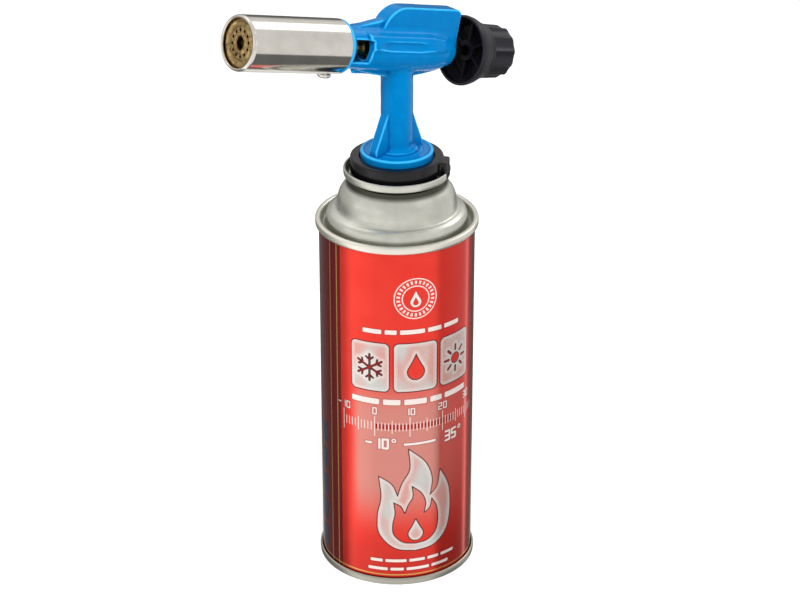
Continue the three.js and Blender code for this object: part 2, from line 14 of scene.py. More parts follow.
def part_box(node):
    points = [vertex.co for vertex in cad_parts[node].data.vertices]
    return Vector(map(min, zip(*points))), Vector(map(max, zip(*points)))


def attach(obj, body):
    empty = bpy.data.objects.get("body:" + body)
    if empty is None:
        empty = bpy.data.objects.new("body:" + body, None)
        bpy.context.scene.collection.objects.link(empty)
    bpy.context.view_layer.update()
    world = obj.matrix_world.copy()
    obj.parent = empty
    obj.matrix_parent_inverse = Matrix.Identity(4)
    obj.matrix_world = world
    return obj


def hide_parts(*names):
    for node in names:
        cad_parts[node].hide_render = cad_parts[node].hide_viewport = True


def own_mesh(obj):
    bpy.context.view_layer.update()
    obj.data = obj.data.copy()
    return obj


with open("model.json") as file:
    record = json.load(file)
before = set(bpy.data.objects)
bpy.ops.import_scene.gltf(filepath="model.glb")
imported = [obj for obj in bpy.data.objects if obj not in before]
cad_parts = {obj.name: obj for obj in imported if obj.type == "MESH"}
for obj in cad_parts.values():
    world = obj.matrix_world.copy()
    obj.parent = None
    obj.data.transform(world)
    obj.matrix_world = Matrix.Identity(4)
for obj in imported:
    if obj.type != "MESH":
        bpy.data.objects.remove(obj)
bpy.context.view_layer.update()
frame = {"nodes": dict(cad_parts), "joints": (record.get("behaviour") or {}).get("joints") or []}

MM = 0.001
FAR_OFF = 1e3

# ---- places taken from the CAD ----

joints = {j["name"]: j for j in frame["joints"]}
can_low, can_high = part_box("can_body")
CAN_X = (can_low.x + can_high.x) / 2 / MM
CAN_R = (can_high.x - can_low.x) / 2 / MM
HEAD = np.array(joints["knob_turn"]["pos_m"]) / MM
REAR = np.array(joints["knob_turn"]["axis"], float)
REAR /= np.linalg.norm(REAR)
FLAME = -REAR
UPRIGHT = np.array([FLAME[2], 0.0, -FLAME[0]])
SEAM_R = (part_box("can_top")[1].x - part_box("can_top")[0].x) / 2 / MM
SEAM_TOP = 161.0
SEAM_HEIGHT = 3.2
WALL = 0.3
TUBE_R = 11.1
TUBE_BACK = 32.3
TUBE_MOUTH = 81.5
FIN_TOP = 17.8
NOTCH_ANGLE = math.radians(-50)

# ON_CAN places a piece drawn about the can's axis. ON_HEAD places one drawn with X along the flame tube and Z
# square to it, upward.
ON_CAN = Matrix.Translation((CAN_X * MM, 0, 0)) @ Matrix.Scale(MM, 4)
HEAD_TURN = Matrix(((FLAME[0], 0, UPRIGHT[0]), (0, -1, 0), (FLAME[2], 0, UPRIGHT[2]))).to_4x4()
ON_HEAD = Matrix.Translation(Vector(HEAD * MM)) @ HEAD_TURN @ Matrix.Scale(MM, 4)


# ---- mesh helpers ----


def link(name, data):
    """A new object in the scene."""
    made = bpy.data.objects.new(name, data)
    bpy.context.scene.collection.objects.link(made)
    return made


def weigh(made):
    """Shading that follows the larger faces."""
    normals = made.modifiers.new("weighted", "WEIGHTED_NORMAL")
    normals.weight = 60
    normals.keep_sharp = True


def piece(name, shape, look, body, node, place, weighted=True):
    """An object from (points, faces) in millimetres, riding on a CAD body and replacing a CAD node."""
    verts, faces = shape
    material, slot = LOOKS[look]
    mesh = bpy.data.meshes.new(name)
    mesh.from_pydata([tuple(p) for p in verts], [], [tuple(f) for f in faces])
    mesh.validate()
    mesh.transform(place)
    mesh.update()
    mesh.shade_smooth()
    mesh.materials.append(material)
    made = link(name, mesh)
    if weighted:
        weigh(made)
    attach(made, body)
    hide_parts(node)
    return made


def store(made, name, values):
    """Keep one number per point of a piece, for its material to read."""
    layer = made.data.attributes.new(name, "FLOAT", "POINT")
    layer.data.foreach_set("value", values.astype(np.float32))


def filleted(profile, radius, steps=2, closed=True):
    """The profile with each corner rounded, by `radius` or by what its edges allow."""
    points = [np.array(p, float) for p in profile]
    count = len(points)
    out = []
    for i, corner in enumerate(points):
        if not closed and i in (0, count - 1):
            out.append(corner)
            continue
        before, after = points[i - 1], points[(i + 1) % count]
        a, b = before - corner, after - corner
        la, lb = np.linalg.norm(a), np.linalg.norm(b)
        a, b = a / la, b / lb
        angle = math.acos(max(-1.0, min(1.0, float(a @ b))))
        if angle > math.radians(172):
            out.append(corner)
            continue
        reach = min(radius / math.tan(angle / 2), 0.45 * la, 0.45 * lb)
        start, end = corner + a * reach, corner + b * reach
        for k in range(steps + 1):
            t = k / steps
            out.append((1 - t) ** 2 * start + 2 * t * (1 - t) * corner + t**2 * end)
    return out


def spline(points, per_span=5):
    """A smooth curve through the points."""
    pts = [np.array(p, float) for p in points]
    pts = [2 * pts[0] - pts[1]] + pts + [2 * pts[-1] - pts[-2]]
    out = []
    for i in range(1, len(pts) - 2):
        p0, p1, p2, p3 = pts[i - 1 : i + 3]
        square = 2 * p0 - 5 * p1 + 4 * p2 - p3
        cube = 3 * p1 - p0 - 3 * p2 + p3
        for k in range(per_span):
            t = k / per_span
            out.append(0.5 * (2 * p1 + (p2 - p0) * t + square * t**2 + cube * t**3))
    out.append(pts[-2])
    return out


def lathe(profile, sides=0, along_x=False, angles=None):
    """Points and faces of a closed profile [radius, height] turned about Z, or about X.

    `angles` can stand in for a number of equal sides.
    """
    angles = angles or [2 * math.pi * k / sides for k in range(sides)]
    sides = len(angles)
    ring = [(float(r), float(h)) for r, h in profile]
    area = sum(a[0] * b[1] - b[0] * a[1] for a, b in zip(ring, ring[1:] + ring[:1]))
    if area < 0:
        ring.reverse()
    verts, rows = [], []
    for r, h in ring:
        if r < 1e-6:
            rows.append([len(verts)] * sides)
            verts.append((0.0, 0.0, h))
        else:
            rows.append(list(range(len(verts), len(verts) + sides)))
            for angle in angles:
                verts.append((r * math.cos(angle), r * math.sin(angle), h))
    faces = []
    for i in range(len(rows)):
        low, high = rows[i], rows[(i + 1) % len(rows)]
        if ring[i][0] < 1e-6 and ring[(i + 1) % len(ring)][0] < 1e-6:
            continue
        for k in range(sides):
            n = (k + 1) % sides
            face = []
            for v in (low[k], low[n], high[n], high[k]):
                if v not in face:
                    face.append(v)
            faces.append(face)
    if along_x:
        verts = [(h, y, -x) for x, y, h in verts]
    return verts, faces


# ---- distance fields: cast and moulded shapes, with fillets ----


def smooth_min(a, b, k):
    h = np.clip(0.5 + 0.5 * (b - a) / k, 0, 1)
    return b + (a - b) * h - k * h * (1 - h)


def smooth_max(a, b, k):
    return -smooth_min(-a, -b, k)


def half_plane(x, y, at, normal):
    length = math.hypot(*normal)
    return ((x - at[0]) * normal[0] + (y - at[1]) * normal[1]) / length


def band(x, low, high):
    return np.maximum(low - x, x - high)


def trim(shape, x, low, high, blend):
    """The part of a shape between two planes, its edges rounded."""
    return smooth_max(shape, band(x, low, high), blend)


def ripple(p, wave, seed):
    """A gentle uneven wave over a surface, from a few crossed sines."""
    a = np.sin(p[:, 0] / wave + seed) * np.sin(p[:, 2] / wave * 1.3 - seed * 2)
    b = np.sin((p[:, 0] + p[:, 1]) / wave * 1.7 + seed * 3) * np.sin((p[:, 2] - p[:, 1]) / wave * 2.1)
    return (a + b) / 2


def around_axis(p):
    """Place along X, distance from it and angle about it, of points in the head's frame."""
    return p[:, 0], np.hypot(p[:, 1], p[:, 2]), np.arctan2(p[:, 1], p[:, 2])


def sector(phi, count, start=0.5):
    """The angle from the middle of the nearest of `count` equal sectors."""
    return ((phi / (2 * math.pi) * count + start) % 1 - 0.5) * 2 * math.pi / count


SLOPE_REACH = 0.05


def either_side(field, verts, axis, reach):
    """The field a little ahead of and a little behind each point, along one axis."""
    shift = np.zeros(3)
    shift[axis] = reach
    return field((verts + shift).astype(np.float32)), field((verts - shift).astype(np.float32))


def polygonise(field, low, high, steps):
    """Quads on the zero level of a distance field, one point per cell, each point pulled on to the surface.
    """
    step = steps[1]
    axes = [np.arange(low[i], high[i] + step, step, dtype=np.float32) for i in range(3)]
    shape = tuple(len(a) for a in axes)
    values = np.empty(shape, np.float32)
    yz = np.stack(np.meshgrid(axes[1], axes[2], indexing="ij"), -1).reshape(-1, 2)
    slab = max(1, 400000 // len(yz))
    for i in range(0, shape[0], slab):
        xs = axes[0][i : i + slab]
        pts = np.empty((len(xs), len(yz), 3), np.float32)
        pts[:, :, 0] = xs[:, None]
        pts[:, :, 1:] = yz[None]
        values[i : i + slab] = field(pts.reshape(-1, 3)).reshape(len(xs), shape[1], shape[2])
    solid = values < 0
    cells = np.zeros(tuple(n - 1 for n in shape), np.int8)
    corners = [(i, j, k) for i in (0, 1) for j in (0, 1) for k in (0, 1)]
    for i, j, k in corners:
        cells += solid[i : i + shape[0] - 1, j : j + shape[1] - 1, k : k + shape[2] - 1]
    active = np.argwhere((cells > 0) & (cells < 8))
    number = np.full(cells.shape, -1, np.int32)
    number[tuple(active.T)] = np.arange(len(active))
    total = np.zeros((len(active), 3))
    crossings = np.zeros(len(active))
    for a in corners:
        for axis in range(3):
            if a[axis]:
                continue
            b = list(a)
            b[axis] = 1
            va = values[tuple((active + a).T)].astype(float)
            vb = values[tuple((active + b).T)].astype(float)
            cross = (va < 0) != (vb < 0)
            t = np.where(cross, va / np.where(cross, va - vb, 1), 0)
            point = np.tile(np.array(a, float), (len(active), 1))
            point[:, axis] = t
            total[cross] += point[cross]
            crossings += cross
    verts = (active + total / crossings[:, None]) * step + np.array([a[0] for a in axes])
    faces = []
    for axis in range(3):
        lower = [slice(None)] * 3
        upper = [slice(None)] * 3
        lower[axis] = slice(0, -1)
        upper[axis] = slice(1, None)
        one, two = solid[tuple(lower)], solid[tuple(upper)]
        edge = np.argwhere(one != two)
        b, c = (axis + 1) % 3, (axis + 2) % 3
        edge = edge[(edge[:, b] > 0) & (edge[:, c] > 0)]
        edge = edge[(edge[:, b] < shape[b] - 1) & (edge[:, c] < shape[c] - 1)]
        quad = []
        for db, dc in ((-1, -1), (0, -1), (0, 0), (-1, 0)):
            cell = edge.copy()
            cell[:, b] += db
            cell[:, c] += dc
            quad.append(number[tuple(cell.T)])
        quad = np.stack(quad, 1)
        flip = ~one[tuple(edge.T)]
        quad[flip] = quad[flip][:, ::-1]
        faces.append(quad)
    for _ in range(3):
        here = field(verts.astype(np.float32)).astype(float)
        slope = np.zeros_like(verts)
        for axis in range(3):
            ahead, behind = either_side(field, verts, axis, SLOPE_REACH)
            slope[:, axis] = (ahead.astype(float) - behind) / (2 * SLOPE_REACH)
        size = np.maximum((slope**2).sum(1), 0.2)
        move = -(here / size)[:, None] * slope
        verts += np.clip(move, -0.4 * step, 0.4 * step)
    return verts, np.concatenate(faces)


def store_bend(made, field, verts, reach=0.7):
    """Keep how sharply the surface turns, per millimetre: above 0 on outer edges and below 0 in inner corners."""
    total = -6.0 * field(verts.astype(np.float32)).astype(float)
    for axis in range(3):
        ahead, behind = either_side(field, verts, axis, reach)
        total += ahead + behind
    store(made, "bend", total / reach**2)


# ---- materials ----


def rgb(r, g, b):
    """A colour given as sRGB bytes."""

    def linear(v):
        v /= 255
        return v / 12.92 if v <= 0.04045 else ((v + 0.055) / 1.055) ** 2.4

    return (linear(r), linear(g), linear(b), 1.0)


class Nodes:
    """Short calls for the nodes of a tree."""

    def __init__(self, tree):
        self.tree = tree

    def put(self, socket, value):
        if isinstance(value, bpy.types.NodeSocket):
            self.tree.links.new(value, socket)
        else:
            socket.default_value = value

    def node(self, kind, inputs=(), **properties):
        made = self.tree.nodes.new(kind)
        for key, value in properties.items():
            setattr(made, key, value)
        for key, value in dict(inputs).items():
            self.put(made.inputs[key], value)
        return made

    def math(self, operation, a, b=0.0):
        return self.node("ShaderNodeMath", {0: a, 1: b}, operation=operation).outputs[0]

    def plus(self, a, b):
        return self.math("ADD", a, b)

    def less(self, a, b):
        return self.math("SUBTRACT", a, b)

    def times(self, a, b):
        return self.math("MULTIPLY", a, b)

    def least(self, a, b):
        return self.math("MINIMUM", a, b)

    def most(self, a, b):
        return self.math("MAXIMUM", a, b)

    def size(self, a):
        return self.math("ABSOLUTE", a)

    def far(self, a, b):
        return self.size(self.less(a, b))

    def root(self, a, b):
        """The length of (a, b)."""
        return self.math("SQRT", self.plus(self.times(a, a), self.times(b, b)))

    def span(self, value, low, high, to_low=0.0, to_high=1.0, kind="LINEAR"):
        values = {"Value": value, "From Min": low, "From Max": high, "To Min": to_low, "To Max": to_high}
        return self.node("ShaderNodeMapRange", values, interpolation_type=kind).outputs[0]

    def ease(self, *values):
        """A span with soft ends."""
        return self.span(*values, kind="SMOOTHSTEP")

    def split(self, vector):
        return self.node("ShaderNodeSeparateXYZ", {0: vector}).outputs


class Shader(Nodes):
    """A principled material and short calls for what feeds it."""

    def __init__(self, name, **values):
        self.material = bpy.data.materials.new(name)
        self.material.use_nodes = True
        super().__init__(self.material.node_tree)
        self.bsdf = self.tree.nodes["Principled BSDF"]
        self.set(**values)
        self.object_coords = self.node("ShaderNodeTexCoord").outputs["Object"]

    def set(self, **values):
        for key, value in values.items():
            self.put(self.bsdf.inputs[key.replace("_", " ")], value)

    def noise(self, size, detail=3.0, roughness=0.55, vector=None, stretch=(1, 1, 1)):
        """Noise whose patches are about `size` millimetres across."""
        vector = vector or self.object_coords
        scale = tuple(1.0 / (size * MM) * s for s in stretch)
        mapped = self.node("ShaderNodeMapping", {"Vector": vector, "Scale": scale})
        values = {"Vector": mapped.outputs[0], "Scale": 1.0, "Detail": detail, "Roughness": roughness}
        return self.node("ShaderNodeTexNoise", values).outputs["Fac"]

    def mix(self, factor, a, b):
        """A mix of two linear colours."""
        return self.node("ShaderNodeMix", {0: factor, 6: a, 7: b}, data_type="RGBA").outputs[2]

    def over(self, colour, factor, top):
        """An sRGB colour laid over another, as strongly as the factor."""
        return self.mix(factor, colour, rgb(*top))

    def tones(self, noise, dark, light, low=0.3, high=0.7):
        """A colour that drifts between two sRGB colours with a noise."""
        return self.mix(self.span(noise, low, high), rgb(*dark), rgb(*light))

    def vary(self, noise, to_low, to_high):
        """A number that drifts between two with a noise."""
        return self.span(noise, 0.3, 0.7, to_low, to_high)

    def attribute(self, name):
        return self.node("ShaderNodeAttribute", attribute_name=name).outputs["Fac"]

    def bump(self, *layers):
        """Layers of (height socket, depth in millimetres), each on top of the last. Gives the finished material."""
        normal = None
        for height, depth in layers:
            values = {"Height": height, "Distance": depth * MM, "Strength": 1.0}
            if normal is not None:
                values["Normal"] = normal
            normal = self.node("ShaderNodeBump", values).outputs[0]
        self.set(Normal=normal)
        return self.material

    def about_can(self):
        """(radius, angle, height) round the can's axis, in metres and radians."""
        x, y, z = self.split(self.object_coords)
        x = self.less(x, CAN_X * MM)
        return self.root(x, y), self.math("ARCTAN2", y, x), z


def tinplate():
    """Bright tinplate, lighter on the seam's rim and darker at the foot, with painted shade under the valve cup's lip
    and in the groove inside the seam's rim.
    """
    s = Shader("tinplate", Metallic=1.0)
    radius, angle, z = s.about_can()
    ring = s.node("ShaderNodeCombineXYZ", {0: s.plus(radius, z), 1: s.times(angle, 0.002)})
    drawn = s.noise(0.35, 4, 0.6, ring.outputs[0])
    cloud = s.noise(9, 3)
    fine = s.noise(0.25, 2)
    colour = s.tones(cloud, (210, 211, 203), (226, 226, 219), 0.35, 0.65)
    tuck = s.times(s.ease(z, 0.1745, 0.1772), s.ease(radius, 0.0222, 0.0212))
    under_lip = s.times(tuck, s.ease(radius, 0.0195, 0.0203))
    groove = s.times(s.ease(z, 0.1605, 0.1575), s.span(z, 0.150, 0.152))
    inside_rim = s.times(groove, s.ease(radius, 0.0322, 0.0318))
    # Painted shade: a dark band under the valve cup's lip, and fainter painted shade in the groove inside the seam's
    # rim.
    painted_shade = s.most(s.times(under_lip, 0.95), s.times(inside_rim, 0.28))
    colour = s.over(colour, s.ease(radius, 0.0322, 0.0328), (246, 244, 234))
    colour = s.over(colour, s.ease(z, 0.012, 0.008), (184, 182, 172))
    s.set(
        Base_Color=s.over(colour, painted_shade, (62, 62, 52)),
        Roughness=s.plus(s.vary(drawn, 0.27, 0.37), s.vary(fine, 0, 0.06)),
    )
    return s.bump((drawn, 0.006), (fine, 0.004))


def blue_enamel():
    """Blue paint on a casting, with painted shade in its corners and painted highlights on its edges."""
    s = Shader("blue_enamel", Metallic=0.0, IOR=1.5, Specular_IOR_Level=0.22, Specular_Tint=(0.05, 0.60, 1.0, 1.0))
    orange_peel = s.noise(1.1, 2)
    casting = s.noise(4.5, 3, 0.6)
    dust = s.noise(0.5, 4, 0.7)
    bend = s.attribute("bend")
    colour = s.tones(casting, (0, 108, 171), (0, 114, 177))
    # Painted shade in inner corners and painted highlights on outer edges, both read from the stored bend.
    colour = s.over(colour, s.ease(bend, -0.35, -1.1, 0.0, 0.75), (0, 62, 132))
    colour = s.over(colour, s.ease(bend, 0.45, 1.3, 0.0, 0.65), (60, 184, 246))
    speck = s.times(s.span(dust, 0.70, 0.76), 0.25)
    s.set(Base_Color=s.over(colour, speck, (0, 84, 150)), Roughness=s.vary(casting, 0.10, 0.16))
    return s.bump((casting, 0.03), (orange_peel, 0.006))


def black_plastic(name, rough, grain, dark, light):
    """Moulded plastic, painted darker and duller as shade at the points marked as lying in a hollow."""
    s = Shader(name, Metallic=0.0, IOR=1.46)
    spark = s.noise(0.45, 3, 0.6)
    cloud = s.noise(5, 3)
    hollow_shade = s.attribute("hollow_shade")
    s.set(
        # Painted shade: the hollow inside the knob's dish gets a darker colour and weaker reflections.
        Base_Color=s.over(s.tones(cloud, dark, light), hollow_shade, (13, 13, 18)),
        Specular_IOR_Level=s.span(hollow_shade, 0.0, 1.0, 0.4, 0.12),
        Roughness=s.vary(spark, rough - 0.06, rough + 0.08),
    )
    return s.bump((spark, grain), (cloud, 0.05))


def chrome():
    s = Shader("chrome", Metallic=1.0)
    drawn = s.noise(0.4, 3, 0.6, stretch=(0.15, 1, 0.4))
    cloud = s.noise(7, 3)
    s.set(Base_Color=s.tones(cloud, (222, 219, 214), (234, 231, 227)), Roughness=s.vary(drawn, 0.09, 0.15))
    return s.bump((drawn, 0.0025), (cloud, 0.02))


def brass(name="brass", tint=(178, 148, 84), dark=(112, 90, 48), rough=0.3):
    s = Shader(name, Metallic=1.0)
    cloud = s.noise(1.6, 4, 0.65)
    tool = s.noise(0.3, 3, 0.6)
    s.set(
        Base_Color=s.tones(cloud, dark, tint, 0.35, 0.7),
        Roughness=s.vary(cloud, rough + 0.12, rough - 0.04),
    )
    return s.bump((tool, 0.008), (cloud, 0.02))


def one_noise(name, metallic, noise, dark, light, rough, depth):
    """A material whose colour, roughness and relief all follow one noise."""
    s = Shader(name, Metallic=metallic)
    cloud = s.noise(*noise)
    s.set(Base_Color=s.tones(cloud, dark, light), Roughness=s.vary(cloud, *rough))
    return s.bump((cloud, depth))


# ---- the printed can ----

LABEL_ANGLE = math.radians(-115)
BODY_LOW, BODY_HIGH = 1.4, 159.6
INK_EDGE = 0.16


def disc2(a, z, ca, cz, r):
    return np.hypot(a - ca, z - cz) - r


def bar2(a, z, ca, cz, half_a, half_z, corner=0.0):
    """A rounded bar."""
    qa = np.abs(a - ca) - half_a + corner
    qz = np.abs(z - cz) - half_z + corner
    return np.hypot(np.maximum(qa, 0), np.maximum(qz, 0)) + np.minimum(np.maximum(qa, qz), 0) - corner


def stroke2(a, z, p, q, half):
    p, q = np.array(p, float), np.array(q, float)
    d = q - p
    t = np.clip(((a - p[0]) * d[0] + (z - p[1]) * d[1]) / max(float(d @ d), 1e-9), 0, 1)
    return np.hypot(a - p[0] - t * d[0], z - p[1] - t * d[1]) - half


# The seven strokes of a plain digit, lettered a to g in the usual order
SEGMENTS = {
    "a": ((0, 1), (1, 1)), "b": ((1, 0.5), (1, 1)), "c": ((1, 0), (1, 0.5)), "d": ((0, 0), (1, 0)),
    "e": ((0, 0), (0, 0.5)), "f": ((0, 0.5), (0, 1)), "g": ((0, 0.5), (1, 0.5)),
}
DIGITS = {"0": "abcdef", "1": "bc", "2": "abdeg", "3": "abcdg", "5": "acdfg", "-": "g"}


def number2(a, z, text, ca, cz, height, half):
    width, pitch = height * 0.52, height * 0.85
    left = ca - (pitch * (len(text) - 1) + width) / 2
    best = np.full_like(a, FAR_OFF)
    for i, sign in enumerate(text):
        base = left + i * pitch
        for segment in DIGITS[sign]:
            p, q = ((base + x * width, cz + (y - 0.5) * height) for x, y in SEGMENTS[segment])
            best = np.minimum(best, stroke2(a, z, p, q, half))
    return best


def dashes2(a, z, cz, start, end, half_z, widths, gap):
    """A line of plain dashes between two arcs, its widths taken in turn."""
    best = np.full_like(a, FAR_OFF)
    at, i = start, 0
    while at < end:
        width = min(widths[i % len(widths)], end - at)
        if width > 3 * half_z:
            best = np.minimum(best, bar2(a, z, at + width / 2, cz, width / 2, half_z, half_z * 0.35))
        at += width + gap
        i += 1
    return best


def outline2(a, z, points):
    """Signed distance to a closed outline, negative inside."""
    best = np.full_like(a, 1e9)
    inside = np.zeros(a.shape, bool)
    for (x0, z0), (x1, z1) in zip(points, points[1:] + points[:1]):
        dx, dz = x1 - x0, z1 - z0
        t = np.clip(((a - x0) * dx + (z - z0) * dz) / (dx * dx + dz * dz + 1e-12), 0, 1)
        best = np.minimum(best, (a - x0 - t * dx) ** 2 + (z - z0 - t * dz) ** 2)
        if dz != 0:
            inside ^= ((z0 > z) != (z1 > z)) & (a < x0 + (z - z0) * dx / dz)
    return np.where(inside, -1.0, 1.0) * np.sqrt(best)


# A plain flame: six round curves between its tips and notches
FLAME_CURVES = (
    [(0, 16.5), (-9, 18.2), (-15.5, 25), (-16.2, 34), (-14.6, 43), (-15.6, 53)],
    [(-15.6, 53), (-10.2, 49.5), (-7.6, 43.5)],
    [(-7.6, 43.5), (-5.6, 50), (-2.2, 57), (-2.8, 66.5)],
    [(-2.8, 66.5), (4.4, 59.5), (7.6, 51), (6.6, 42.5)],
    [(6.6, 42.5), (10.4, 46.5), (11.8, 54)],
    [(11.8, 54), (16.2, 45), (17.2, 34), (15.2, 24), (9, 18), (0, 16.5)],
)


def flame2(a, z):
    """A silver flame with an open middle, and a drop standing in it."""
    outline = [point for curve in FLAME_CURVES for point in spline(curve)[:-1]]
    outer = outline2(a, z, outline)
    shrunk = [(0.2 + 0.62 * x, 19.8 + 0.58 * (y - 16.5)) for x, y in outline]
    inner = outline2(a, z, shrunk)
    return np.minimum(np.maximum(outer, -inner), drop2(a, z, 0.3, 26.2, 5.6))


EMBLEM_Z = 137.2
EMBLEM_RINGS = (9.05, 5.7)
EMBLEM_SPOKES = 26
SPOKE_MIDDLE = 7.4
SCALE_Z = 77.4
UNIT = math.radians(2.64)
ZERO = math.radians(-30.5)
TILE_Z = 105.4
BACK_TILE_Z = 52
GOLD_ARCS = (36.5, 41.2)
GOLD_HEIGHT = 4.5


def polar(ca, cz, reach, turn):
    return ca + reach * math.cos(turn), cz + reach * math.sin(turn)


def snowflake2(a, z, ca, cz, size):
    best = np.full_like(a, FAR_OFF)
    for k in range(6):
        turn = math.radians(60 * k + 30)
        best = np.minimum(best, stroke2(a, z, (ca, cz), polar(ca, cz, size, turn), 0.5))
        mid = polar(ca, cz, 0.58 * size, turn)
        for lean in (-50, 50):
            end = polar(*mid, 0.34 * size, turn + math.radians(lean))
            best = np.minimum(best, stroke2(a, z, mid, end, 0.42))
    return best


def sun2(a, z, ca, cz, size):
    best = disc2(a, z, ca, cz, 0.42 * size)
    for k in range(8):
        turn = math.radians(45 * k)
        near, tip = polar(ca, cz, 0.64 * size, turn), polar(ca, cz, size, turn)
        best = np.minimum(best, stroke2(a, z, near, tip, 0.55))
    return best


def drop2(a, z, ca, cz, size):
    """A plain drop, round below and pointed above."""
    best = disc2(a, z, ca, cz - 0.25 * size, 0.55 * size)
    for t in np.linspace(0, 1, 18):
        r = 0.55 * size * (1 - t) ** 1.15 + 0.15
        best = np.minimum(best, disc2(a, z, ca, cz - 0.25 * size + 1.25 * size * t, r))
    return best


def print_fields(angle, z):
    """Signed distances, in millimetres, of the inks with shapes too free for the shader to work out."""
    turn = (angle - LABEL_ANGLE + math.pi) % (2 * math.pi) - math.pi
    a = turn * CAN_R
    white = np.full_like(a, FAR_OFF)

    def add(shape):
        nonlocal white
        white = np.minimum(white, shape)

    add(np.maximum(drop2(a, z, 0, EMBLEM_Z - 0.6, 3.9), -drop2(a, z, 0, EMBLEM_Z - 1.4, 1.9)))
    for height, start, end, half, widths, gap in (
        (122.0, -22.6, 24.0, 1.0, (8.2, 5.0, 10.6, 6.4), 1.4),
        (89.2, -28.0, 28.4, 1.3, (12.6, 7.4, 9.8, 5.6), 1.6),
        (69.0, -5.0, 9.4, 0.55, (14.4,), 1.0),
        (11.6, -19.5, 19.5, 0.7, (5.4, 9.2, 7.0), 1.2),
        (7.4, -20.5, 16.4, 0.7, (8.6, 5.8, 10.2), 1.2),
    ):
        add(dashes2(a, z, height, start, end, half, widths, gap))
    for text, place, degree in (("-10", -16.5, -9.2), ("35", 17.4, 22.9)):
        add(number2(a, z, text, place, 69.2, 4.3, 0.5))
        add(np.abs(disc2(a, z, degree, 70.9, 0.75)) - 0.3)
    for value in (-10, 0, 10, 20, 30):
        add(number2(a, z, str(value), (ZERO + value * UNIT) * CAN_R, 84.6, 2.9, 0.27))

    back = (turn + 2 * math.pi) % (2 * math.pi) * CAN_R
    for line in range(12):
        widths = [(4.0, 2.6, 6.0, 3.2, 5.0), (2.4, 5.6, 3.4, 7.0)][line % 2]
        add(dashes2(back, z, 128 - 4.2 * line, 74, 128 - 9 * (line % 3), 0.7, widths, 1.1))
    for line in range(5):
        add(dashes2(back, z, 28 - 3.6 * line, 74, 128 - 14 * (line % 2), 0.7, (3.4, 2.2, 5.4), 1.1))
    add(np.abs(bar2(back, z, 101, BACK_TILE_Z, 27, 14, 2.0)) - 0.4)
    for centre, sign, height in ((83, snowflake2, 52), (101, drop2, 51), (119, sun2, 52)):
        tile = bar2(back, z, centre, BACK_TILE_Z, 7, 9.5, 1.5)
        add(np.maximum(tile, -sign(back, z, centre, height, 5.2)))

    silver = np.full_like(a, FAR_OFF)
    for centre, half, sign in ((-19.6, 8.4, snowflake2), (0.2, 9.4, drop2), (19.8, 8.4, sun2)):
        slab = bar2(a, z, centre, TILE_Z, half, 11.2, 2.2)
        silver = np.minimum(silver, np.maximum(slab, -sign(a, z, centre, 105.0, half * 0.72)))
    near_flame = (np.abs(a) < 28) & (z > 10) & (z < 75)
    flames = np.full_like(a, FAR_OFF)
    flames[near_flame] = flame2(a[near_flame], z[near_flame])
    silver = np.minimum(silver, flames)

    navy = np.full_like(a, FAR_OFF)
    for k in range(5):
        for place in (-49.5, 49.5):
            navy = np.minimum(navy, bar2(a, z, place, 64 - 12.8 * k, 4.6, 5.2, 0.6))
    return {"ink_white": white, "ink_silver": silver, "ink_navy": navy}


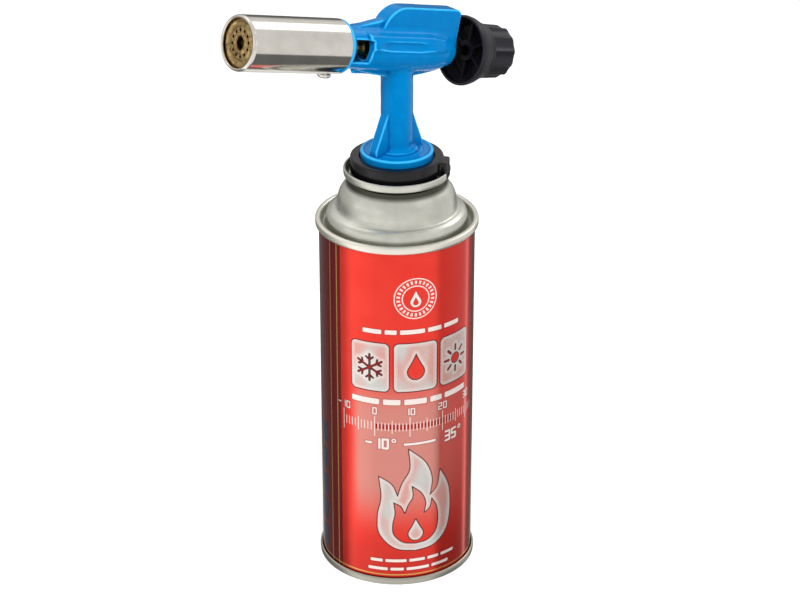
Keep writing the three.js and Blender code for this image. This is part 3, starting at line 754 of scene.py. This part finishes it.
def can_lacquer():
    """Red lacquer over bright tinplate. Free shapes are read from distances stored on the mesh, and regular ones
    are worked out here."""
    s = Shader("can_lacquer", Coat_Weight=0.25, Coat_Roughness=0.04)
    _, angle, z = s.about_can()
    cloud = s.noise(14, 2)
    grain = s.noise(0.3, 3, 0.6)
    ink_white, ink_silver, ink_navy = (s.attribute("ink_" + ink) for ink in ("white", "silver", "navy"))

    def stamp(distance_mm, grow=0.0):
        return s.ease(distance_mm, grow + INK_EDGE, grow - INK_EDGE)

    turn = s.less(angle, LABEL_ANGLE)
    turn = s.math("ARCTAN2", s.math("SINE", turn), s.math("COSINE", turn))
    arc = s.times(turn, CAN_R)
    rise = s.times(z, 1 / MM)

    # The emblem: two rings joined by spokes
    height = s.less(rise, EMBLEM_Z)
    rho = s.root(arc, height)
    rings = s.least(*(s.less(s.far(rho, radius), 0.24) for radius in EMBLEM_RINGS))
    spokes = s.times(s.math("ARCTAN2", height, arc), EMBLEM_SPOKES / (2 * math.pi))
    spoke = s.times(s.far(s.math("FRACT", spokes), 0.5), 2 * math.pi * SPOKE_MIDDLE / EMBLEM_SPOKES)
    rings = s.least(rings, s.most(s.less(spoke, 0.42), s.less(s.far(rho, SPOKE_MIDDLE), 0.75)))

    # The tick scale, counted in degrees from its zero
    count = s.times(s.less(turn, ZERO), 1 / UNIT)
    reach = s.size(s.less(rise, SCALE_Z))

    def ticks(every, high, tall):
        step = s.times(count, 1.0 / every)
        gap = s.times(s.far(step, s.math("ROUND", step)), every * UNIT * CAN_R)
        inside = s.most(s.less(-10.3, count), s.less(count, high + 0.3))
        return s.most(s.most(s.less(gap, 0.17), s.less(reach, tall)), inside)

    marks = s.least(ticks(1, 33, 1.9), s.least(ticks(5, 30, 3.1), ticks(10, 30, 4.7)))
    cell = s.times(s.far(s.math("FRACT", count), 0.5), UNIT * CAN_R)
    between = s.most(s.less(cell, 0.42), s.less(reach, 1.2))
    between = s.most(between, s.most(s.less(0.0, count), s.less(count, 24.0)))

    # Lacquer, with painted shade to the right, darker at the foot, and a painted reflection band that catches the
    # light
    colour = s.tones(cloud, (232, 52, 40), (238, 60, 47))
    # Painted shade: darker to the right, standing in for the darker room the lacquer reflects there.
    colour = s.over(colour, s.ease(turn, 0.30, 0.42, 0.0, 0.45), (196, 26, 20))
    colour = s.over(colour, s.ease(z, 0.035, 0.006, 0.0, 0.4), (150, 22, 18))
    colour = s.over(colour, s.ease(s.size(turn), 1.035, 1.05), (140, 14, 22))
    # Painted reflection: a pale pinkish band across the middle, faded towards the right.
    middle = s.times(s.ease(z, 0.022, 0.052), s.ease(z, 0.104, 0.082))
    within = s.times(s.ease(turn, -0.90, -0.72), s.ease(turn, 1.0, 0.4))
    painted_reflection = s.times(s.times(middle, within), s.times(s.ease(turn, 0.36, 0.31, 0.4, 1.0), 0.8))
    colour = s.over(colour, painted_reflection, (210, 150, 140))

    # Inks, from the lowest to the topmost
    colour = s.over(colour, stamp(ink_silver, 0.4), (70, 12, 14))
    silver = stamp(ink_silver, -0.05)
    sheen = s.noise(9, 1, 0.4, stretch=(1, 1, 0.5))
    shine = s.mix(s.ease(sheen, 0.35, 0.65), rgb(222, 164, 156), rgb(208, 206, 204))
    shine = s.over(shine, s.times(s.ease(ink_silver, -2.2, -0.4), 0.6), (236, 230, 228))
    colour = s.mix(silver, colour, shine)
    colour = s.over(colour, stamp(between), (170, 14, 20))
    navy = stamp(ink_navy)
    colour = s.over(colour, navy, (24, 24, 58))
    gold = s.least(*(s.less(s.far(s.size(arc), place), 0.28) for place in GOLD_ARCS))
    gold = s.least(gold, s.less(s.far(rise, GOLD_HEIGHT), 0.25))
    colour = s.over(colour, stamp(gold), (214, 176, 92))
    white = s.most(stamp(ink_white), s.most(stamp(rings), stamp(marks)))
    colour = s.over(colour, s.times(stamp(ink_white, 0.32), 0.55), (120, 14, 16))
    colour = s.over(colour, white, (240, 226, 221))

    opaque = s.most(s.times(white, 0.5), navy)
    s.set(
        Base_Color=colour,
        Metallic=s.mix(opaque, (0.86, 0.86, 0.86, 1), (0.45, 0.45, 0.45, 1)),
        Roughness=s.plus(s.vary(grain, 0.18, 0.24), s.times(silver, 0.08)),
    )
    return s.bump((cloud, 0.02), (white, 0.006))


# Each look's material and a CAD slot name
LOOKS = {
    "tinplate": (tinplate(), "tinplate"),
    "lacquer": (can_lacquer(), "red_lacquer"),
    "blue": (blue_enamel(), "blue_paint"),
    "black": (black_plastic("ring_plastic", 0.2, 0.008, (9, 8, 11), (15, 14, 18)), "black_plastic"),
    "knob": (black_plastic("knob_plastic", 0.4, 0.015, (19, 19, 26), (24, 24, 33)), "black_plastic"),
    "chrome": (chrome(), "chrome"),
    "brass": (brass(), "brass"),
    "burner": (brass("burner_brass", (216, 186, 132), (140, 116, 76), 0.3), "brass"),
    # Brass painted dark as shade, for the gland nut and spindle in the knob's shadow.
    "shaded_brass": (brass("shaded_gland_brass", (58, 54, 48), (26, 24, 22), 0.45), "brass"),
    "rubber": (one_noise("rubber", 0.0, (0.2, 4, 0.7), (24, 24, 24), (40, 40, 41), (0.65, 0.85), 0.01), "rubber"),
    "nylon": (one_noise("nylon", 0.0, (1.5, 3), (226, 223, 210), (238, 236, 226), (0.4, 0.55), 0.01), "nylon"),
    "steel": (
        one_noise("zinc_steel", 1.0, (0.8, 4, 0.65), (168, 170, 172), (205, 206, 208), (0.22, 0.4), 0.008), "steel",
    ),
    "sinter": (brass("sinter", (150, 118, 62), (90, 66, 32), 0.6), "brass"),
}


def graded(spans):
    """Places from a list of (end, step) spans, each walked at its own step."""
    out = [spans[0][0]]
    for end, step in spans[1:]:
        count = max(1, round((end - out[-1]) / step))
        start = out[-1]
        out += [start + (end - start) * (k + 1) / count for k in range(count)]
    return out


def build_can_body():
    fine, coarse = ((0.3, 1.0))
    heights = graded([
        (BODY_LOW, 0), (5.0, coarse), (14.0, fine), (66.0, 1.3 * fine), (72.5, fine), (82.0, coarse), (91.0, fine),
        (117.5, 1.3 * fine), (125.0, fine), (132.0, coarse), (142.5, fine), (BODY_HIGH, coarse),
    ])
    arcs = graded([(-math.pi * CAN_R, 0), (-29.0, 1.6 * fine), (29.0, fine), (math.pi * CAN_R, 1.6 * fine)])
    profile = [(CAN_R, h) for h in heights] + [(CAN_R - WALL, h) for h in (BODY_HIGH, 80.0, BODY_LOW)]
    verts, faces = lathe(profile, angles=[LABEL_ANGLE + arc / CAN_R for arc in arcs[:-1]])
    made = piece("printed_can", (verts, faces), "lacquer", "cartridge", "can_body", ON_CAN)
    points = np.array(verts)
    for name, values in print_fields(np.arctan2(points[:, 1], points[:, 0]), points[:, 2]).items():
        store(made, name, np.clip(values, -50, 50))


def build_can_ends():
    seam = SEAM_R - 0.3
    bottom = [
        (0, 9.9), (14, 9.2), (24, 6.9), (29, 5.0), (31.3, 3.2), (31.8, 0.9), (32.5, 0.0), (33.3, 0.0),
        (seam - 0.05, 0.5), (seam, 1.2), (seam, 2.4), (seam - 0.15, 2.95), (seam - 0.5, SEAM_HEIGHT),
        (CAN_R + 0.35, SEAM_HEIGHT), (CAN_R + 0.3, 1.0), (CAN_R - 0.45, 1.0), (CAN_R - 0.5, 3.4), (29.2, 5.5),
        (24.2, 7.4), (14.1, 9.7), (0, 10.4),
    ]
    piece("bottom_end", lathe(filleted(bottom, 0.35), 192), "tinplate", "cartridge", "can_base", ON_CAN)

    dome = [
        (13.2, 179.0), (13.4, 179.95), (14.3, 180.35), (15.2, 180.0), (16.0, 179.3), (19.2, 179.2), (20.4, 178.6),
        (20.8, 177.2), (21.3, 175.9), (22.8, 174.1), (24.1, 171.9), (24.8, 169.4), (25.1, 166.8), (25.7, 165.4),
        (27.2, 164.8), (28.7, 163.8), (29.5, 161.9), (29.7, 159.4), (30.1, 157.8), (30.8, 157.3), (31.4, 157.9),
        (31.7, 159.6), (32.0, 160.5), (32.5, 160.95), (33.3, SEAM_TOP), (33.95, 160.75), (SEAM_R - 0.02, 160.2),
    ]
    rim_and_inside = [
        (SEAM_R, 159.0), (SEAM_R - 0.04, 158.3), (SEAM_R - 0.4, 157.8), (CAN_R + 0.35, 157.8), (CAN_R + 0.3, 160.1),
        (CAN_R - 0.45, 160.1), (31.8, 157.2), (30.6, 156.6), (29.3, 158.0), (28.4, 163.1), (25.4, 164.4),
        (24.4, 167.0), (22.2, 173.7), (20.5, 175.4), (19.3, 178.6), (13.2, 178.6),
    ]
    piece("shoulder", lathe(spline(dome) + rim_and_inside, 256), "tinplate", "cartridge", "can_top", ON_CAN)


def carve(made, shape, place):
    """Cuts a closed shape out of a piece that has no modifiers yet, and keeps only the result."""
    mesh = bpy.data.meshes.new("cutter")
    mesh.from_pydata(shape[0], [], shape[1])
    mesh.transform(place)
    tool = link("cutter", mesh)
    cut = made.modifiers.new("cut", "BOOLEAN")
    cut.operation = "DIFFERENCE"
    cut.solver = "EXACT"
    cut.object = tool
    bpy.context.view_layer.update()
    graph = bpy.context.evaluated_depsgraph_get()
    result = bpy.data.meshes.new_from_object(made.evaluated_get(graph))
    made.modifiers.remove(cut)
    made.data = result
    bpy.data.objects.remove(tool)


def block(x0, x1, y0, y1, z0, z1, turn=0.0):
    """Points and faces of a cutting block, turned about the can's axis."""
    c, s = math.cos(turn), math.sin(turn)
    verts = [(x * c - y * s, x * s + y * c, z) for z in (z0, z1) for y in (y0, y1) for x in (x0, x1)]
    faces = [(0, 2, 3, 1), (4, 5, 7, 6), (0, 1, 5, 4), (2, 6, 7, 3), (0, 4, 6, 2), (1, 3, 7, 5)]
    return verts, faces


def build_collar():
    profile = [
        (2.3, 179.3), (2.3, 179.8), (4.9, 179.5), (5.2, 173.2), (12.1, 173.6), (12.2, 180.9), (13.0, 181.45),
        (15.4, 181.45), (17.0, 180.1), (20.9, 180.1), (20.95, 182.4), (21.2, 183.0), (21.7, 183.2), (22.1, 183.0),
        (22.3, 182.5), (22.3, 181.0), (22.15, 180.2), (21.6, 179.7), (20.9, 179.6), (16.6, 179.6), (15.3, 180.95),
        (13.1, 180.95), (12.7, 180.6), (12.6, 173.0), (4.7, 172.7), (4.5, 179.1),
    ]
    shape = lathe(filleted(profile, 0.25), 224)
    made = piece("valve_cup", shape, "tinplate", "cartridge", "mounting_cup", ON_CAN, False)
    carve(made, block(19.9, 24, -4.8, 4.8, 180.15, 184, NOTCH_ANGLE), ON_CAN)
    made.data.set_sharp_from_angle(angle=math.radians(40))
    weigh(made)


# ---- torch head ----

HULL_S = [-28.5, -28.0, -26.0, -22.0, -16.0, -8.0, 8.0, 17.0, 22.0, 24.0]
HULL_R = [5.0, 5.4, 6.7, 8.0, 9.0, 9.4, 9.4, 9.0, 8.8, 8.8]
KEEL = [(20.5, -8.6), (-2.0, -15.4), (-24.6, -7.0)]


def keel_line():
    t = np.linspace(0, 1, 40)
    p0, p1, p2 = (np.array(p) for p in KEEL)
    curve = np.outer((1 - t) ** 2, p0) + np.outer(2 * t * (1 - t), p1) + np.outer(t**2, p2)
    return curve[::-1, 0], curve[::-1, 1]


KEEL_S, KEEL_U = keel_line()


def revolve(along, radial, profile_along, profile_radius):
    return radial - np.interp(along, profile_along, profile_radius)


def body_field(p):
    """The blue casting, in the can's frame."""
    x, y, z = p[:, 0], p[:, 1], p[:, 2]
    rise = z - HEAD[2]
    s = x * FLAME[0] + rise * FLAME[2]
    u = x * UPRIGHT[0] + rise * UPRIGHT[2]
    v = np.abs(y)
    round_part = np.hypot(v, u)

    hull = revolve(s, round_part, HULL_S, HULL_R)
    shoulder = half_plane(v, u, (4.0, 7.5), (0.0, 1.0))
    for at, normal, blend in (
        ((4.0, 7.5), (0.21, 1.0), 0.6), ((8.5, 6.0), (1.0, 0.9), 0.5),
        ((9.85, 1.8), (1.0, 0.3), 0.5), ((9.95, 1.3), (1.0, -0.8), 0.5),
    ):
        shoulder = smooth_max(shoulder, half_plane(v, u, at, normal), blend)
    taper = np.interp(s, [-28, -24, -18, -12, 21.5, 22.0], [-3.6, -2.4, -0.8, 0.0, 0.0, 0.0])
    shoulder = trim(shoulder - taper, s, -25.5, 22.0, 0.9)
    barrel = smooth_min(hull, shoulder, 0.7)

    flute_r = 2.5 - np.clip((np.abs(s - 3.0) - 7.5) / 8.5, 0, 1) ** 1.6 * 1.5
    flute = np.hypot(v - 11.0, u - 3.2) - flute_r
    barrel = smooth_max(barrel, -flute, 0.3)
    barrel = trim(barrel, s, -28.0, 22.0, 1.1)

    corner = 11.1
    q0, q1 = s - (12.2 - corner), u - (FIN_TOP - corner)
    fin = np.hypot(np.maximum(q0, 0), np.maximum(q1, 0)) + np.minimum(np.maximum(q0, q1), 0) - corner
    fin = smooth_max(fin, -28.0 - s, 0.6)
    fin = smooth_max(fin, half_plane(s, u, (-26.0, FIN_TOP), (-1.4, 2.0)), 0.5)
    fin = np.maximum(fin, -u)
    fin = smooth_max(fin, v - 3.9, 0.55)
    body = smooth_min(barrel, fin, 1.6)

    neck = round_part - np.interp(s, [17, 28.8, 29.6, 30.6, 31.0], [8.8, 8.8, 9.2, 10.7, 11.0])
    neck = trim(neck, s, 17.0, 32.0, 0.3)
    spigot = trim(round_part - 10.2, s, 30.0, 39.6, 0.4)
    neck = smooth_min(neck, spigot, 0.2)
    body = smooth_min(body, neck, 0.5)

    web = half_plane(s, u, (22.6, 9.2), (3.0, 11.9))
    web = np.maximum(np.maximum(web, s - 24.6), 5.0 - u)
    web = np.maximum(web, 6.0 - s)
    web = smooth_max(web, v - 2.3, 0.7)
    body = smooth_min(body, web, 1.0)

    keel = np.interp(s, KEEL_S, KEEL_U) - u
    keel = np.maximum(keel * 0.95, u + 4.0)
    keel = trim(keel, s, -25.0, 21.6, 0.5)
    keel = smooth_max(keel, v - 2.3, 0.7)
    body = smooth_min(body, keel, 1.0)

    bore_s = [-30, -12.1, -11.9, 17.7, 17.9, 28.7, 28.9, 41]
    bore = np.interp(s, bore_s, [4.65, 4.65, 5.1, 5.1, 6.2, 6.2, 4.25, 4.25])
    body = smooth_max(body, -(round_part - bore), 0.3)
    window = np.maximum(band(s, 20.0, 28.3), band(u, -4.5, 4.6))
    body = smooth_max(body, -window, 0.5)

    post_r = np.hypot(x, y)
    facet = 0.08 * np.cos(8 * np.arctan2(y, x))
    post = trim(post_r - 6.6 - facet, z, 188.0, 228.5, 0.4)
    foot_r = [0, 8.2, 9.0, 10.2, 11.0, 13.4, 14.2, 15.2]
    foot_top = np.interp(post_r, foot_r, [191.6, 191.6, 190.9, 190.9, 190.5, 190.5, 190.95, 190.9])
    foot = trim(post_r - 15.2, z, 186.5, foot_top, 0.7)
    lower = smooth_min(post, foot, 2.4)
    front = half_plane(x, z, (-6.3, 207.9), (-14.4, 6.1))
    back = half_plane(x, z, (6.4, 207.2), (14.2, 5.2))
    skirt = np.maximum(np.maximum(front, x - 0.0), band(x, -12.6, 0.0))
    skirt_back = np.maximum(np.maximum(back, -x), band(x, 0.0, 11.7))
    webs = np.maximum(np.minimum(skirt, skirt_back), band(z, 188.5, 208.5))
    webs = smooth_max(webs, v - 2.3, 0.35)
    lower = smooth_min(lower, webs, 0.7)
    inner = np.maximum(np.hypot(v, u) - 5.1, band(s, -12.0, 15.0))
    body = smooth_min(body, np.maximum(lower, -inner), 1.4)
    body = np.maximum(body, -np.maximum(post_r - 4.4, z - 196.0))
    body = np.maximum(body, -np.maximum(post_r - 1.65, z - 231.0))
    return body + 0.05 * ripple(p, 2.3, 1.0)


def build_body():
    shape = polygonise(body_field, (-42.5, -15.7, 185.6), (32.0, 15.7, 262.0), (0.7, 0.42))
    made = piece("casting", shape, "blue", "torch", "torch_body", ON_CAN, False)
    store_bend(made, body_field, shape[0])


def lock_ring_field(p):
    x, y, z = p[:, 0], p[:, 1], p[:, 2]
    r = np.hypot(x, y)
    ring = trim(r - 19.4, z, 180.7, 188.2, 0.9)
    ring = smooth_max(ring, -np.maximum(r - 15.6, 186.2 - z), 0.4)
    ring = smooth_max(ring, -np.maximum(r - 17.7, z - 184.9), 0.3)
    ring = smooth_max(ring, -(r - 6.0), 0.3)
    c, s = math.cos(NOTCH_ANGLE), math.sin(NOTCH_ANGLE)
    along, across = x * c + y * s, -x * s + y * c
    lug = smooth_max(band(along, 18.2, 21.6), np.abs(across) - 4.3, 0.8)
    lug = trim(lug, z, 180.9, 187.4, 0.8)
    ring = smooth_min(ring, lug, 0.5)
    for place in (-10.0, 10.0):
        ring = np.maximum(ring, -(np.hypot(x, y - place) - 1.45))
    return ring


def build_lock_ring():
    shape = polygonise(lock_ring_field, (-22.5, -22.5, 179.9), (22.5, 22.5, 189.0), (0.6, 0.34))
    piece("bayonet_ring", shape, "black", "torch", "lock_ring", ON_CAN, False)


KNOB_END = -56.4
GRIP_R = 11.0
SKIRT_R = 14.6
FLUTES = 12
KNOB_WEBS = 6


def knob_field(p):
    """The knob, in the head's frame."""
    s, r, phi = around_axis(p)
    skirt_s = [-44.0, -43.2, -42.4, -41.4, -40.0, -38.0, -36.1, -34.5]
    outer = revolve(s, r, skirt_s, [11.7, 11.85, 12.0, 12.4, 13.2, 14.1, SKIRT_R, SKIRT_R])
    shell = trim(outer * 0.85, s, -44.4, -34.5, 0.5)
    grip_r = GRIP_R + 0.6 * np.clip((s - KNOB_END) / 12.4, 0, 1)
    grip = trim(r - grip_r, s, KNOB_END, -42.0, 1.6)
    across = sector(phi, FLUTES)
    flute = np.hypot(r * np.sin(across), r * np.cos(across) - 15.1) - 5.0
    flute = smooth_max(flute, s + 44.2, 1.2)
    grip = smooth_max(grip, -flute, 0.35)
    knob = smooth_min(shell, grip, 0.5)
    dish = revolve(s, r, [-41.4, -41.0, -38.8, -36.6, -34.4], [9.6, 10.6, 12.1, 13.2, 13.6])
    dish = np.maximum(dish * 0.85, -41.3 - s)
    knob = smooth_max(knob, -dish, 0.4)
    boss = trim(r - 4.4, s, -42.5, -37.4, 0.4)
    knob = smooth_min(knob, boss, 0.5)
    web = np.abs(r * np.sin(sector(phi, KNOB_WEBS))) - 0.6
    web = smooth_max(np.maximum(web, band(r, 3.0, 12.0)), band(s, -42.0, -38.4), 0.3)
    knob = smooth_min(knob, web, 0.5)
    recess = np.maximum(r - 3.3, s - KNOB_END - 1.8)
    knob = smooth_max(knob, -recess, 0.4)
    return np.maximum(knob, -(r - 2.1))


def build_knob():
    shape = polygonise(knob_field, (KNOB_END - 0.8, -15.4, -15.4), (-33.8, 15.4, 15.4), (0.5, 0.28))
    made = piece("valve_knob", shape, "knob", "knob", "control_knob", ON_HEAD, False)
    s, r, _ = around_axis(np.array(shape[0]))
    rim = np.interp(s, [-42.0, -38.8, -36.6, -34.4], [11.4, 12.5, 13.6, 14.0])
    # Painted shade: marks the points inside the knob's dish for its material to darken.
    store(made, "hollow_shade", np.clip((rim - r) / 0.5, 0, 1) * np.clip(s + 43.0, 0, 1))


PORTS = 12


def burner_field(p):
    """The burner's face, in the head's frame."""
    s, r, phi = around_axis(p)
    face_r = [0, 3.0, 3.9, 4.3, 6.1, 6.9, 8.2, 8.9, 10.3]
    face = np.interp(r, face_r, [80.5, 80.5, 80.45, 80.0, 80.0, 79.4, 79.4, 79.95, 79.6])
    head = trim(r - 10.3, s, 70.6, face, 0.5)
    head = smooth_max(head, -np.maximum(r - 4.2, s - 75.8), 0.2)
    head = smooth_max(head, -np.maximum(r - 6.4, band(s, 75.8, 77.2)), 0.2)
    bore = 2.5 + np.clip(s - 79.6, 0, 1.2) * 0.5
    head = smooth_max(head, -(r - bore), 0.15)
    turn = sector(phi, PORTS, 0.0)
    port = np.hypot(r * np.sin(turn), r * np.cos(turn) - 5.15) - 0.62
    return smooth_max(head, -np.maximum(port, 76.5 - s), 0.12)


def build_burner():
    shape = polygonise(burner_field, (70.0, -10.8, -10.8), (81.0, 10.8, 10.8), (0.4, 0.2))
    piece("burner_face", shape, "burner", "torch", "burner_head", ON_HEAD, False)

    inner = TUBE_R - 0.5
    mouth = [
        (0, 1.4), (0.1, 0.8), (0.4, 0.25), (0.8, 0), (1.2, 0.1), (1.4, 0.5), (1.35, 0.9), (0.7, 1.3),
    ]
    tube = [(TUBE_R, TUBE_BACK)] + [(TUBE_R - inward, TUBE_MOUTH - back) for inward, back in mouth]
    tube += [(inner, TUBE_MOUTH - 2.0), (inner, TUBE_BACK)]
    jet = [
        (1.25, 10.6), (1.95, 10.6), (1.95, 17.5), (2.95, 17.6), (2.95, 19.6), (2.45, 20.0), (2.3, 20.6), (2.2, 22.4),
        (1.3, 23.3), (0.25, 23.3), (0.25, 22.0), (1.25, 21.2),
    ]
    piece("flame_tube", lathe(filleted(tube, 0.15), 192, True), "chrome", "torch", "burner_tube", ON_HEAD)
    piece("jet", lathe(filleted(jet, 0.12), 64, True), "brass", "torch", "gas_jet", ON_HEAD)


def build_screws():
    profile = [
        (0, -7.4), (1.35, -7.8), (1.35, -11.4), (2.8, -11.35), (2.85, -11.9), (2.6, -12.4), (2.0, -12.85),
        (1.2, -13.12), (0.5, -13.2), (0.45, -12.7), (0, -12.6),
    ]
    shape = lathe(filleted(profile, 0.08, closed=False), 64)
    piece("tube_fixing", shape, "chrome", "torch", "tube_screw", ON_HEAD @ Matrix.Translation((35.5, 0, 0)))


def nut_field(p):
    s, r, _ = around_axis(p)
    hexagon = np.full_like(r, -FAR_OFF)
    for k in range(6):
        turn = math.radians(60 * k)
        hexagon = np.maximum(hexagon, p[:, 1] * math.cos(turn) + p[:, 2] * math.sin(turn) - 4.35)
    hexagon = trim(hexagon, s, -31.8, -28.15, 0.3)
    hexagon = smooth_max(hexagon, (r - 4.6 - (s + 31.6)) * 0.7, 0.3)
    nut = np.minimum(hexagon, trim(r - 4.4, s, -28.4, -13.0, 0.3))
    nut = smooth_max(nut, -(r - 2.1), 0.2)
    return np.maximum(nut, -np.maximum(r - 3.1, band(s, -20.2, -16.0)))


def build_nut():
    shape = polygonise(nut_field, (-32.4, -5.6, -5.6), (-12.4, 5.6, 5.6), (0.5, 0.25))
    # The nut takes brass painted dark as shade.
    piece("gland", shape, "shaded_brass", "torch", "gland_nut", ON_HEAD, False)


# ---- carried-over CAD nodes ----


def dress_cad_nodes():
    choice = {
        "brass": ["inlet_nipple", "gas_tube", "valve_block", "mixing_tube"],
        # The spindle takes brass painted dark as shade.
        "shaded_brass": ["valve_spindle"],
        "rubber": ["cup_gasket", "cartridge_valve_gasket", "nipple_seal", "spindle_o_ring"],
        "nylon": ["cartridge_valve_housing", "cartridge_valve_stem", "vapour_tube"],
        "steel": ["ring_screw_1", "ring_screw_2", "knob_screw"],
        "sinter": ["jet_filter"],
    }
    for look, nodes in choice.items():
        for node in nodes:
            made = frame["nodes"][node]
            made.data.materials.clear()
            made.data.materials.append(LOOKS[look][0])
            rounding = made.modifiers.new("edges", "BEVEL")
            rounding.width = 0.08 * MM
            rounding.segments = 2
            rounding.limit_method = "ANGLE"
            rounding.angle_limit = math.radians(40)


def build_spring():
    """The valve's spring, a copy of the CAD node's mesh riding on the cartridge."""
    mesh = frame["nodes"]["cartridge_valve_spring"].data.copy()
    mesh.materials.clear()
    mesh.materials.append(LOOKS["steel"][0])
    mesh.shade_smooth()
    made = link("valve_spring", mesh)
    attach(made, "cartridge")
    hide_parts("cartridge_valve_spring")
    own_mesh(made)


# ---- stage: lengths here are metres ----

FLOOR_HALF = 6.0


def build_floor():
    mesh = bpy.data.meshes.new("floor")
    corners = [(x * FLOOR_HALF, y * FLOOR_HALF, 0) for x, y in ((-1, -1), (1, -1), (1, 1), (-1, 1))]
    mesh.from_pydata(corners, [], [(0, 1, 2, 3)])
    s = Shader("floor_paper", Roughness=0.9, Specular_IOR_Level=0.0)
    s.set(Emission_Color=(1, 1, 1, 1), Emission_Strength=0.26)
    speck = s.noise(3, 3)
    s.set(Base_Color=s.mix(s.span(speck, 0.3, 0.7), (0.86, 0.86, 0.86, 1), (0.88, 0.88, 0.88, 1)))
    mesh.materials.append(s.material)
    floor = link("floor", mesh)
    floor.visible_glossy = False


def area_light(name, place, aim, size, power):
    light = bpy.data.lights.new(name, "AREA")
    light.shape = "RECTANGLE"
    light.size, light.size_y = size
    light.energy = power
    made = link(name, light)
    made.location = place
    made.rotation_euler = (Vector(aim) - Vector(place)).to_track_quat("-Z", "Y").to_euler()
    made.visible_glossy = False


# What a reflection sees round the room, as (degrees, brightness)
NEAR_FLOOR = (
    (-179.9, 1.15), (-166, 1.1), (-164, 0.98), (-70, 0.92), (-64, 0.15), (-6, 0.13), (-3, 1.3), (1, 1.3), (5, 0.12),
    (30, 0.2), (42, 0.95), (60, 0.6), (84, 0.2), (118, 0.2), (134, 0.24), (147, 0.3), (153, 0.95), (160, 1.4),
    (168, 1.25), (179.9, 1.15),
)
FAR_FLOOR = (
    (-179.9, 1.1), (-166, 1.05), (-164, 0.98), (-70, 0.95), (-61, 0.55), (-54, 0.8), (-20, 0.7), (-6, 0.6), (-3, 1.3),
    (1, 1.3), (5, 0.2), (40, 0.12), (84, 0.2), (118, 0.2), (134, 0.45), (147, 0.6), (153, 0.95), (160, 1.3),
    (168, 1.2), (179.9, 1.1),
)
WALLS = (
    (-179.9, 0.8), (-60, 0.8), (-30, 0.74), (20, 0.66), (38, 0.4), (46, 0.12), (62, 0.12), (80, 0.5), (120, 0.5),
    (150, 0.75), (179.9, 0.8),
)
CEILING = 0.74
# Round soft boxes: degrees round, degrees up, full inside this many degrees, gone outside this many, brightness
SOFT_BOXES = (
    (4, 38, 3, 17, 2.2), (-172, 21, 4, 16, 0.4), (152, 17, 4, 16, 0.4), (-60, 47, 3, 14, 0.45), (-72, 12, 3, 12, 0.2),
    (86, 62, 5, 26, 0.7),
)
ROOM_LIGHT = 0.62
BACKDROP = (0.97, 0.97, 0.97, 1)


def build_world():
    """A white room for soft light. Reflections see soft boxes and darker gaps between them."""
    world = bpy.data.worlds.new("studio")
    bpy.context.scene.world = world
    world.use_nodes = True
    world.node_tree.nodes.clear()
    s = Nodes(world.node_tree)
    direction = s.node("ShaderNodeTexCoord").outputs["Generated"]
    x, y, z = s.split(direction)
    elevation = s.plus(s.times(s.math("ARCSINE", z), 1 / math.pi), 0.5)
    azimuth = s.plus(s.times(s.math("ARCTAN2", y, x), 0.5 / math.pi), 0.5)

    def around(stops):
        made = s.node("ShaderNodeValToRGB", {0: azimuth})
        elements = made.color_ramp.elements
        while len(elements) < len(stops):
            elements.new(0.5)
        placed = sorted(((degrees / 360.0 + 0.5) % 1.0, level) for degrees, level in stops)
        for element, (place, level) in zip(elements, placed):
            element.position = place
            element.color = (level, level, level, 1)
        return made.outputs[0]

    def above(low, high, under, over):
        """`over` taking the place of `under` between two elevations in degrees."""
        factor = s.ease(elevation, low / 180.0 + 0.5, high / 180.0 + 0.5)
        return s.node("ShaderNodeMix", {0: factor, 2: under, 3: over}).outputs[0]

    def soft_box(degrees_round, degrees_up, inner, outer, level):
        a, e = math.radians(degrees_round), math.radians(degrees_up)
        aim = (math.cos(a) * math.cos(e), math.sin(a) * math.cos(e), math.sin(e))
        dot = s.node("ShaderNodeVectorMath", {0: direction, 1: aim}, operation="DOT_PRODUCT").outputs["Value"]
        return s.ease(dot, math.cos(math.radians(outer)), math.cos(math.radians(inner)), 0.0, level)

    light = above(-31, -28, around(NEAR_FLOOR), around(FAR_FLOOR))
    light = above(-14, -4, light, around(WALLS))
    light = above(10, 26, light, CEILING)
    for box in SOFT_BOXES:
        light = s.plus(light, soft_box(*box))
    tint = s.node("ShaderNodeCombineColor", {0: light, 1: s.times(light, 0.985), 2: s.times(light, 0.945)})

    def background(colour, strength=1.0):
        return s.node("ShaderNodeBackground", {0: colour, 1: strength}).outputs[0]

    rays = s.node("ShaderNodeLightPath").outputs
    room, reflected = background((1, 1, 1, 1), ROOM_LIGHT), background(tint.outputs[0])
    seen = s.node("ShaderNodeMixShader", {0: rays["Is Glossy Ray"], 1: room, 2: reflected}).outputs[0]
    seen = s.node("ShaderNodeMixShader", {0: rays["Is Camera Ray"], 1: seen, 2: background(BACKDROP)}).outputs[0]
    s.node("ShaderNodeOutputWorld", {0: seen})


def build_camera():
    """The photograph's viewpoint, fitted to the can's outline."""
    data = bpy.data.cameras.new("camera")
    data.lens = 112.95
    data.sensor_width = 36.0
    data.shift_x = 0.004
    data.clip_start, data.clip_end = 0.05, 20
    camera = link("camera", data)
    camera.location = Vector((CAN_X - 602.29, -748.03, 587.21)) * MM
    looking = Vector((0.5643, 0.7007, -0.4366)).normalized()
    right = Vector((0.7789, -0.6271, 0.0)).normalized()
    turned = Matrix((right, right.cross(looking), -looking)).transposed()
    camera.rotation_euler = turned.to_euler()
    bpy.context.scene.camera = camera


def main():
    for build in (
        build_can_body, build_can_ends, build_collar, build_body, build_lock_ring, build_knob, build_burner,
        build_screws, build_nut, dress_cad_nodes, build_spring, build_floor, build_world,
    ):
        build()
    area_light("key", (-0.45, -0.6, 1.35), (0, 0, 0.2), (0.5, 0.5), 19)
    area_light("fill", (0.9, -0.9, 0.6), (0, 0, 0.15), (0.5, 0.9), 2)
    build_camera()
    bpy.context.scene.view_settings.view_transform = "Standard"


main()
